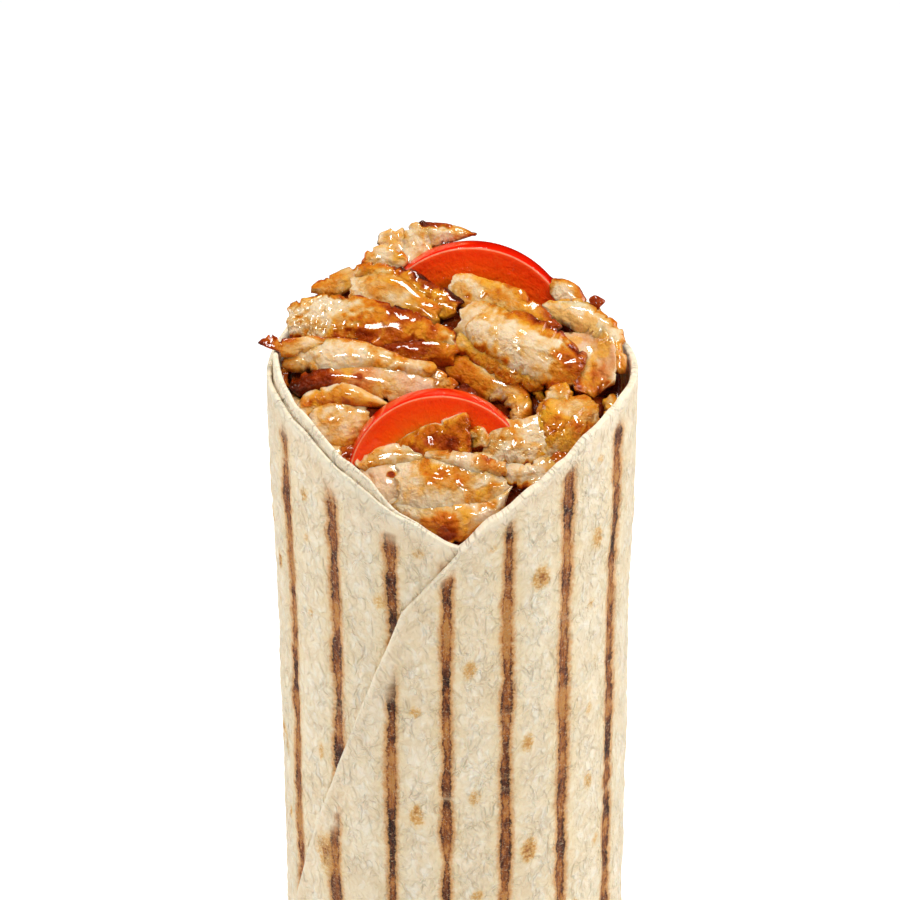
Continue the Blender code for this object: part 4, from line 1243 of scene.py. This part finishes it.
def core_place(i, j):
    """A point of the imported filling: the foot, the wall inside the roll, then the lumpy top."""
    angle = 360 * i / CORE_COLUMNS
    bottom = FLOOR_Z + 0.4 * MM
    full = ROLL_R - wall(angle) - 1.0 * MM
    if j == 0:
        radius, z = 0.0, bottom
    elif j <= CORE_WALL_ROWS:
        share = (j - 1) / (CORE_WALL_ROWS - 1)
        radius = full - (END_TAPER + 0.6 * MM) * (1 - share)
        z = bottom + (CORE_WALL_TOP - bottom) * share
    else:
        radius = full * (1 - (j - CORE_WALL_ROWS - 1) / (CORE_ROWS - CORE_WALL_ROWS - 1))
        z = heap_top(radius, angle)
        at = polar(radius, angle, z) / MM
        lumps = 1.0 * noise.noise(at / 4.5) + 0.5 * noise.noise(at / 1.8)
        z += MM * lumps * smooth((full - radius) / (2 * MM))
    point = polar(radius, angle, z)
    spread = ((point.x + z * 0.2) / MM, point.y / MM)
    # dark roast, partly painted shade for the gaps between the slices
    roast = 0.74 + 0.3 * noise.noise(point / (5 * MM))
    return point, spread, roast, 0.0, 0.6, 5.0


# ---------------------------------------------------------------- tomato

TOMATO_LAYERS = ("spread:uv", "skin", "out")


class TomatoShape:
    """Half a slice, cut face to the front, standing on its straight side."""

    FACE_STEPS = 26           # points from the centre of a cut face to the skin
    SKIN_STEPS = 14           # points across the skin
    TURN_STEPS = 110          # points round the half turn
    FACE = 0.985              # share of the radius at which the skin starts
    GEL = 0.68                # share of the radius inside which the flesh lies lower

    def __init__(self, radius, thick):
        self.radius = radius * MM
        self.thick = thick
        self.along = self.TURN_STEPS + 2
        self.around = self.FACE_STEPS * 2 + self.SKIN_STEPS

    def section(self, i):
        """Distance from the centre and depth of one point of the section, and how far out it is."""
        if i <= self.FACE_STEPS:
            out = i / self.FACE_STEPS
            return self.radius * out * self.FACE, -0.5, out
        if i >= self.FACE_STEPS + self.SKIN_STEPS:
            out = (self.around - i) / self.FACE_STEPS
            return self.radius * out * self.FACE, 0.5, out
        a = math.pi * ((i - self.FACE_STEPS) / self.SKIN_STEPS - 0.5)
        skin = (self.radius * (1 - self.FACE) + 0.1 * MM) * math.cos(a) ** 0.6
        return self.radius * self.FACE + skin, 0.5 * math.sin(a), 1.0

    def face_relief(self, across, far, out):
        """How far a cut face bulges, with its sunken gel, in millimetres."""
        uneven = 0.1 * soft_noise(across / 3.0, far / 1.6, 5) * smooth(out * 6)
        dome = 0.12 * math.sin(math.pi * out * out) + uneven
        sunk = smooth((self.GEL - out) / 0.06) * 0.35
        return (dome - sunk - 0.25) * smooth((1 - out) * 9)

    def place(self, i, j):
        reach, depth, out = self.section(i)
        angle = math.pi * min(max(j - 1, 0), self.TURN_STEPS) / self.TURN_STEPS
        y = depth * self.thick
        skin = 1.0 if self.FACE_STEPS < i < self.FACE_STEPS + self.SKIN_STEPS else 0.0
        across, far = angle * 16, reach / MM
        if not skin:
            y += (1 if depth > 0 else -1) * self.face_relief(across, far, out) * MM
        if j in (0, self.along):
            y = 0.0
        return Vector((reach * math.cos(angle), y, reach * math.sin(angle))), (across, far), skin, out


def tomato_material(settings):
    material, w, shader = new_material("Tomato")
    spread = w.uv("spread")
    skin, out = map(w.attribute, ("skin", "out"))
    patches = w.group("Mottle", {"Vector": spread, "Size": 5.0, "Contrast": 1.2})
    rays = w.noise(w.stretched(spread, (1.6, 0.16, 1)), 0.9, 3.0, 0.6)
    # flesh from the middle out; its last stops paint a thin pale line at the skin's edge, a painted
    # highlight
    flesh = w.ramp(out + (rays - 0.5) * w.band(out, 0.9, 0.7, 0.0, 0.14), (
        (0.5, paint(246, 98, 8)), (0.66, paint(252, 112, 12)), (0.74, paint(254, 86, 10)),
        (0.86, paint(254, 72, 12)), (0.95, paint(254, 64, 13)), (0.986, paint(254, 80, 28)),
        (0.996, paint(255, 158, 120)),
    ))
    flesh = w.blend(w.band(patches["Patches"], 0.5, 0.8) * 0.35, flesh, paint(236, 96, 30))
    rind = w.blend(patches["Patches"], paint(226, 16, 2), paint(242, 36, 4))
    wet = w.group("Wet Film", {"Vector": spread, "Wrinkle Size": 1.2, "Cover": 0.55})
    flat = 1.0 - skin
    height = wet["Crinkle"] * 0.4 + wet["Grain"]
    w.finish(shader, {
        "Base Color": w.blend(skin, flesh, rind),
        "Roughness": skin * -0.08 + w.band(wet["Film"], 0.0, 1.0, 0.34, 0.2),
        "Normal": w.bump(height * flat, 0.0003), "Coat Weight": wet["Film"] * 0.6,
        "Coat Roughness": 0.06, "Specular IOR Level": 0.4, "Specular Tint": paint(255, 150, 110),
        "Subsurface Weight": 0.4, "Subsurface Radius": (1.0, 0.2, 0.06), "Subsurface Scale": 0.003,
    })
    return material


# ---------------------------------------------------------------- settings

COLOUR = {"subtype": "COLOR", "size": 3, "min": 0, "max": 1}
LENGTH = {"subtype": "DISTANCE", "unit": "LENGTH"}


class WrapBreadSettings(PropertyGroup):
    columns: IntProperty(name="Columns", description="Points round the roll", default=290, min=60)
    rows: IntProperty(name="Rows", description="Points down the outside", default=240, min=40)
    relief: FloatProperty(name="Relief", description="How strongly the baked cells puff up", default=1.0)
    groove: FloatProperty(
        name="Groove", description="Depth of the grill marks in millimetres", default=0.3)
    cream: FloatVectorProperty(
        name="Cream", description="Lighter colour of the bread", default=paint(250, 237, 210)[:3], **COLOUR)
    cream_shade: FloatVectorProperty(
        name="Cream Shade", description="Deeper colour of the bread", default=paint(241, 219, 180)[:3],
        **COLOUR)


class WrapChickenSettings(PropertyGroup):
    cell: FloatProperty(
        name="Cell", description="Size of the mesh cells in millimetres", default=0.3, min=0.1)
    crumple: FloatProperty(
        name="Crumple", description="How deeply the slices are wrinkled", default=1.0)
    ragged: FloatProperty(
        name="Ragged", description="How far the edges are torn, in millimetres", default=0.8)
    pale: FloatVectorProperty(
        name="Pale", description="Least roasted meat", default=paint(226, 201, 163)[:3], **COLOUR)
    golden: FloatVectorProperty(
        name="Golden", description="Golden roasted meat", default=paint(196, 98, 9)[:3], **COLOUR)
    roasted: FloatVectorProperty(
        name="Roasted", description="Well roasted meat", default=paint(160, 60, 4)[:3], **COLOUR)
    charred: FloatVectorProperty(
        name="Charred", description="Darkest edges", default=paint(62, 13, 1)[:3], **COLOUR)


class WrapTomatoSettings(PropertyGroup):
    thick: FloatProperty(
        name="Thickness", description="Thickness of a slice of tomato", default=4.6 * MM, **LENGTH)


class WrapStageSettings(PropertyGroup):
    floor_size: FloatProperty(
        name="Floor", description="Side of the floor", default=6.0, **LENGTH)
    floor_glow: FloatProperty(
        name="Floor Glow", description="Light given off by the floor", default=0.34)
    camera_distance: FloatProperty(
        name="Camera Distance", description="From the camera to the mouth of the wrap", default=0.7,
        **LENGTH)
    camera_height: FloatProperty(
        name="Camera Elevation", description="Angle of the camera above the horizon",
        default=math.radians(30), subtype="ANGLE", unit="ROTATION")
    focal_length: FloatProperty(
        name="Focal Length", description="Lens in millimetres", default=157.4, unit="CAMERA")
    world: FloatProperty(
        name="Surroundings", description="Brightness of the white surroundings", default=0.3)
    top: FloatProperty(
        name="Top Light", description="Power of the light overhead", default=2.5, unit="POWER")
    front: FloatProperty(
        name="Front Light", description="Power of the light high in front", default=1.6, unit="POWER")
    key: FloatProperty(
        name="Key Light", description="Power of the light on the right", default=1.5, unit="POWER")
    side: FloatProperty(
        name="Side Lights", description="Power of each side light", default=2.2, unit="POWER")


# ---------------------------------------------------------------- operators

class WRAP_OT_lavash(Operator):
    """Roll the lavash: one closed sheet with its free edge, rim, folded end and grill marks"""
    bl_idname = "wrap.lavash"
    bl_label = "Roll the Lavash"

    def execute(self, context):
        settings = context.scene.wrap_bread
        shape = BreadShape(settings)
        across, along = len(shape.columns) - 1, len(shape.rows) - 1
        bread = shaped_grid("lavash_bread", across, along, shape.place, BREAD_LAYERS)
        close_shell(bread)
        dress(bread, bread_material(settings), "lavash")
        return {"FINISHED"}


class WRAP_OT_filling_core(Operator):
    """Pack the inside of the roll with the oily base of the filling, dark partly as painted shade between
    the slices
    """
    bl_idname = "wrap.filling_core"
    bl_label = "Pack the Filling"

    def execute(self, context):
        core = shaped_grid("chicken_core", CORE_COLUMNS, CORE_ROWS, core_place, SLICE_LAYERS)
        close_shell(core)
        material = meat_material("Chicken Base", context.scene.wrap_chicken, tone=0.05, shine=0.8)
        dress(core, material, "chicken_filling")
        return {"FINISHED"}


class WRAP_OT_chicken_slices(Operator):
    """Lay the roasted slices of chicken over the filling"""
    bl_idname = "wrap.chicken_slices"
    bl_label = "Lay the Chicken"

    def execute(self, context):
        settings = context.scene.wrap_chicken
        material = meat_material("Roast Chicken", settings)
        for zone, forms in SLICES.items():
            dress(chicken_pieces(zone, forms, settings, settings.cell), material)
        packed = chicken_pieces("chicken_packed", under_slices(), settings, settings.cell * 1.4)
        dress(packed, material)
        return {"FINISHED"}


class WRAP_OT_tomatoes(Operator):
    """Stand the two half slices of tomato in the filling"""
    bl_idname = "wrap.tomatoes"
    bl_label = "Add the Tomato"

    def execute(self, context):
        settings = context.scene.wrap_tomato
        material = tomato_material(settings)
        for node, (centre, radius, roll) in TOMATOES.items():
            shape = TomatoShape(radius, settings.thick)
            name = node.replace("slice", "half")
            piece = shaped_grid(name, shape.around, shape.along, shape.place, TOMATO_LAYERS)
            close_shell(piece)
            x, y, z = centre
            piece.location = (x * MM, y * MM, RIM_Z + z * MM)
            piece.rotation_euler = (-TOMATO_LEAN, math.radians(roll), 0)
            bpy.ops.object.transform_apply(location=True, rotation=True, scale=True)
            dress(piece, material, node)
        return {"FINISHED"}


CAMERA_TARGET = (-0.56 * MM, 0, RIM_Z - 16 * MM)
# name: setting of its power, place and size in metres
LIGHTS = {
    "top": ("top", (0.07, 0.06, 0.85), 0.15, 0.15),
    "front": ("front", (-0.14, -0.42, 0.72), 0.12, 0.12),
    "key": ("key", (0.5, -0.3, 0.7), 0.12, 0.12),
    "left": ("side", (-0.6, 0.2, 0.3), 0.25, 0.7),
    "right": ("side", (0.6, 0.2, 0.3), 0.25, 0.7),
}


def area_light(name, size, power, place):
    """A soft light aimed at the mouth of the wrap."""
    data = bpy.data.lights.new(name, "AREA")
    data.shape = "RECTANGLE"
    data.size, data.size_y = size
    data.energy = power
    light = bpy.data.objects.new(name, data)
    bpy.context.scene.collection.objects.link(light)
    light.location = place
    light.rotation_euler = (Vector((0, 0, RIM_Z)) - Vector(place)).to_track_quat("-Z", "Y").to_euler()


class WRAP_OT_stage(Operator):
    """Set the pale floor, the soft light and the camera"""
    bl_idname = "wrap.stage"
    bl_label = "Set the Stage"

    def execute(self, context):
        settings = context.scene.wrap_stage
        self.lay_floor(settings)
        self.light(context.scene, settings)
        self.aim_camera(context.scene, settings)
        context.scene.view_settings.view_transform = "Standard"
        return {"FINISHED"}

    def lay_floor(self, settings):
        deselect()
        bpy.ops.mesh.primitive_plane_add(size=settings.floor_size)
        floor = bpy.context.object
        floor.name = "floor"
        material, w, shader = new_material("Pale Floor")
        fine = w.noise(w.node("ShaderNodeTexCoord", {}, "Object"), 900.0, 2.0)
        w.finish(shader, {
            "Base Color": w.blend(fine, paint(250, 250, 250), paint(252, 252, 252)), "Roughness": 0.9,
            "Specular IOR Level": 0.1, "Emission Color": WHITE,
            "Emission Strength": settings.floor_glow,
        })
        floor.visible_glossy = False
        floor.data.materials.append(material)

    def light(self, scene, settings):
        world = bpy.data.worlds.new("Studio")
        scene.world = world
        world.use_nodes = True
        background = world.node_tree.nodes["Background"]
        background.inputs["Color"].default_value = WHITE
        background.inputs["Strength"].default_value = settings.world
        world.cycles_visibility.glossy = False
        for name, (power, place, *size) in LIGHTS.items():
            area_light(name, size, getattr(settings, power), place)

    def aim_camera(self, scene, settings):
        data = bpy.data.cameras.new("camera")
        data.lens = settings.focal_length
        data.sensor_width = 36.0
        data.clip_start = 0.01
        camera = bpy.data.objects.new("camera", data)
        scene.collection.objects.link(camera)
        rise = settings.camera_height
        target = Vector(CAMERA_TARGET)
        back = Vector((0, -math.cos(rise), math.sin(rise)))
        camera.location = target + back * settings.camera_distance
        camera.rotation_euler = (math.pi / 2 - rise, 0, 0)
        scene.camera = camera


class WRAP_PT_panel(Panel):
    """Lists the parts of the wrap"""
    bl_idname = "WRAP_PT_panel"
    bl_label = "Chicken Lavash Wrap"
    bl_space_type = "VIEW_3D"
    bl_region_type = "UI"
    bl_category = "Wrap"

    def draw(self, context):
        layout = self.layout
        for operator in OPERATORS:
            layout.operator(operator.bl_idname)
        for name in SETTINGS:
            group = getattr(context.scene, name)
            box = layout.box()
            for prop in group.bl_rna.properties:
                if prop.identifier not in ("rna_type", "name"):
                    box.prop(group, prop.identifier)


SETTINGS = {
    "wrap_bread": WrapBreadSettings,
    "wrap_chicken": WrapChickenSettings,
    "wrap_tomato": WrapTomatoSettings,
    "wrap_stage": WrapStageSettings,
}
OPERATORS = (
    WRAP_OT_lavash, WRAP_OT_filling_core, WRAP_OT_chicken_slices, WRAP_OT_tomatoes, WRAP_OT_stage,
)


def register():
    for cls in (*SETTINGS.values(), *OPERATORS, WRAP_PT_panel):
        bpy.utils.register_class(cls)
    for name, cls in SETTINGS.items():
        setattr(bpy.types.Scene, name, PointerProperty(type=cls))


def unregister():
    for name in SETTINGS:
        delattr(bpy.types.Scene, name)
    for cls in (WRAP_PT_panel, *reversed(OPERATORS), *reversed(tuple(SETTINGS.values()))):
        bpy.utils.unregister_class(cls)


def main():
    register()
    for operator in OPERATORS:
        group, name = operator.bl_idname.split(".")
        getattr(getattr(bpy.ops, group), name)()


if __name__ == "__main__":
    main()
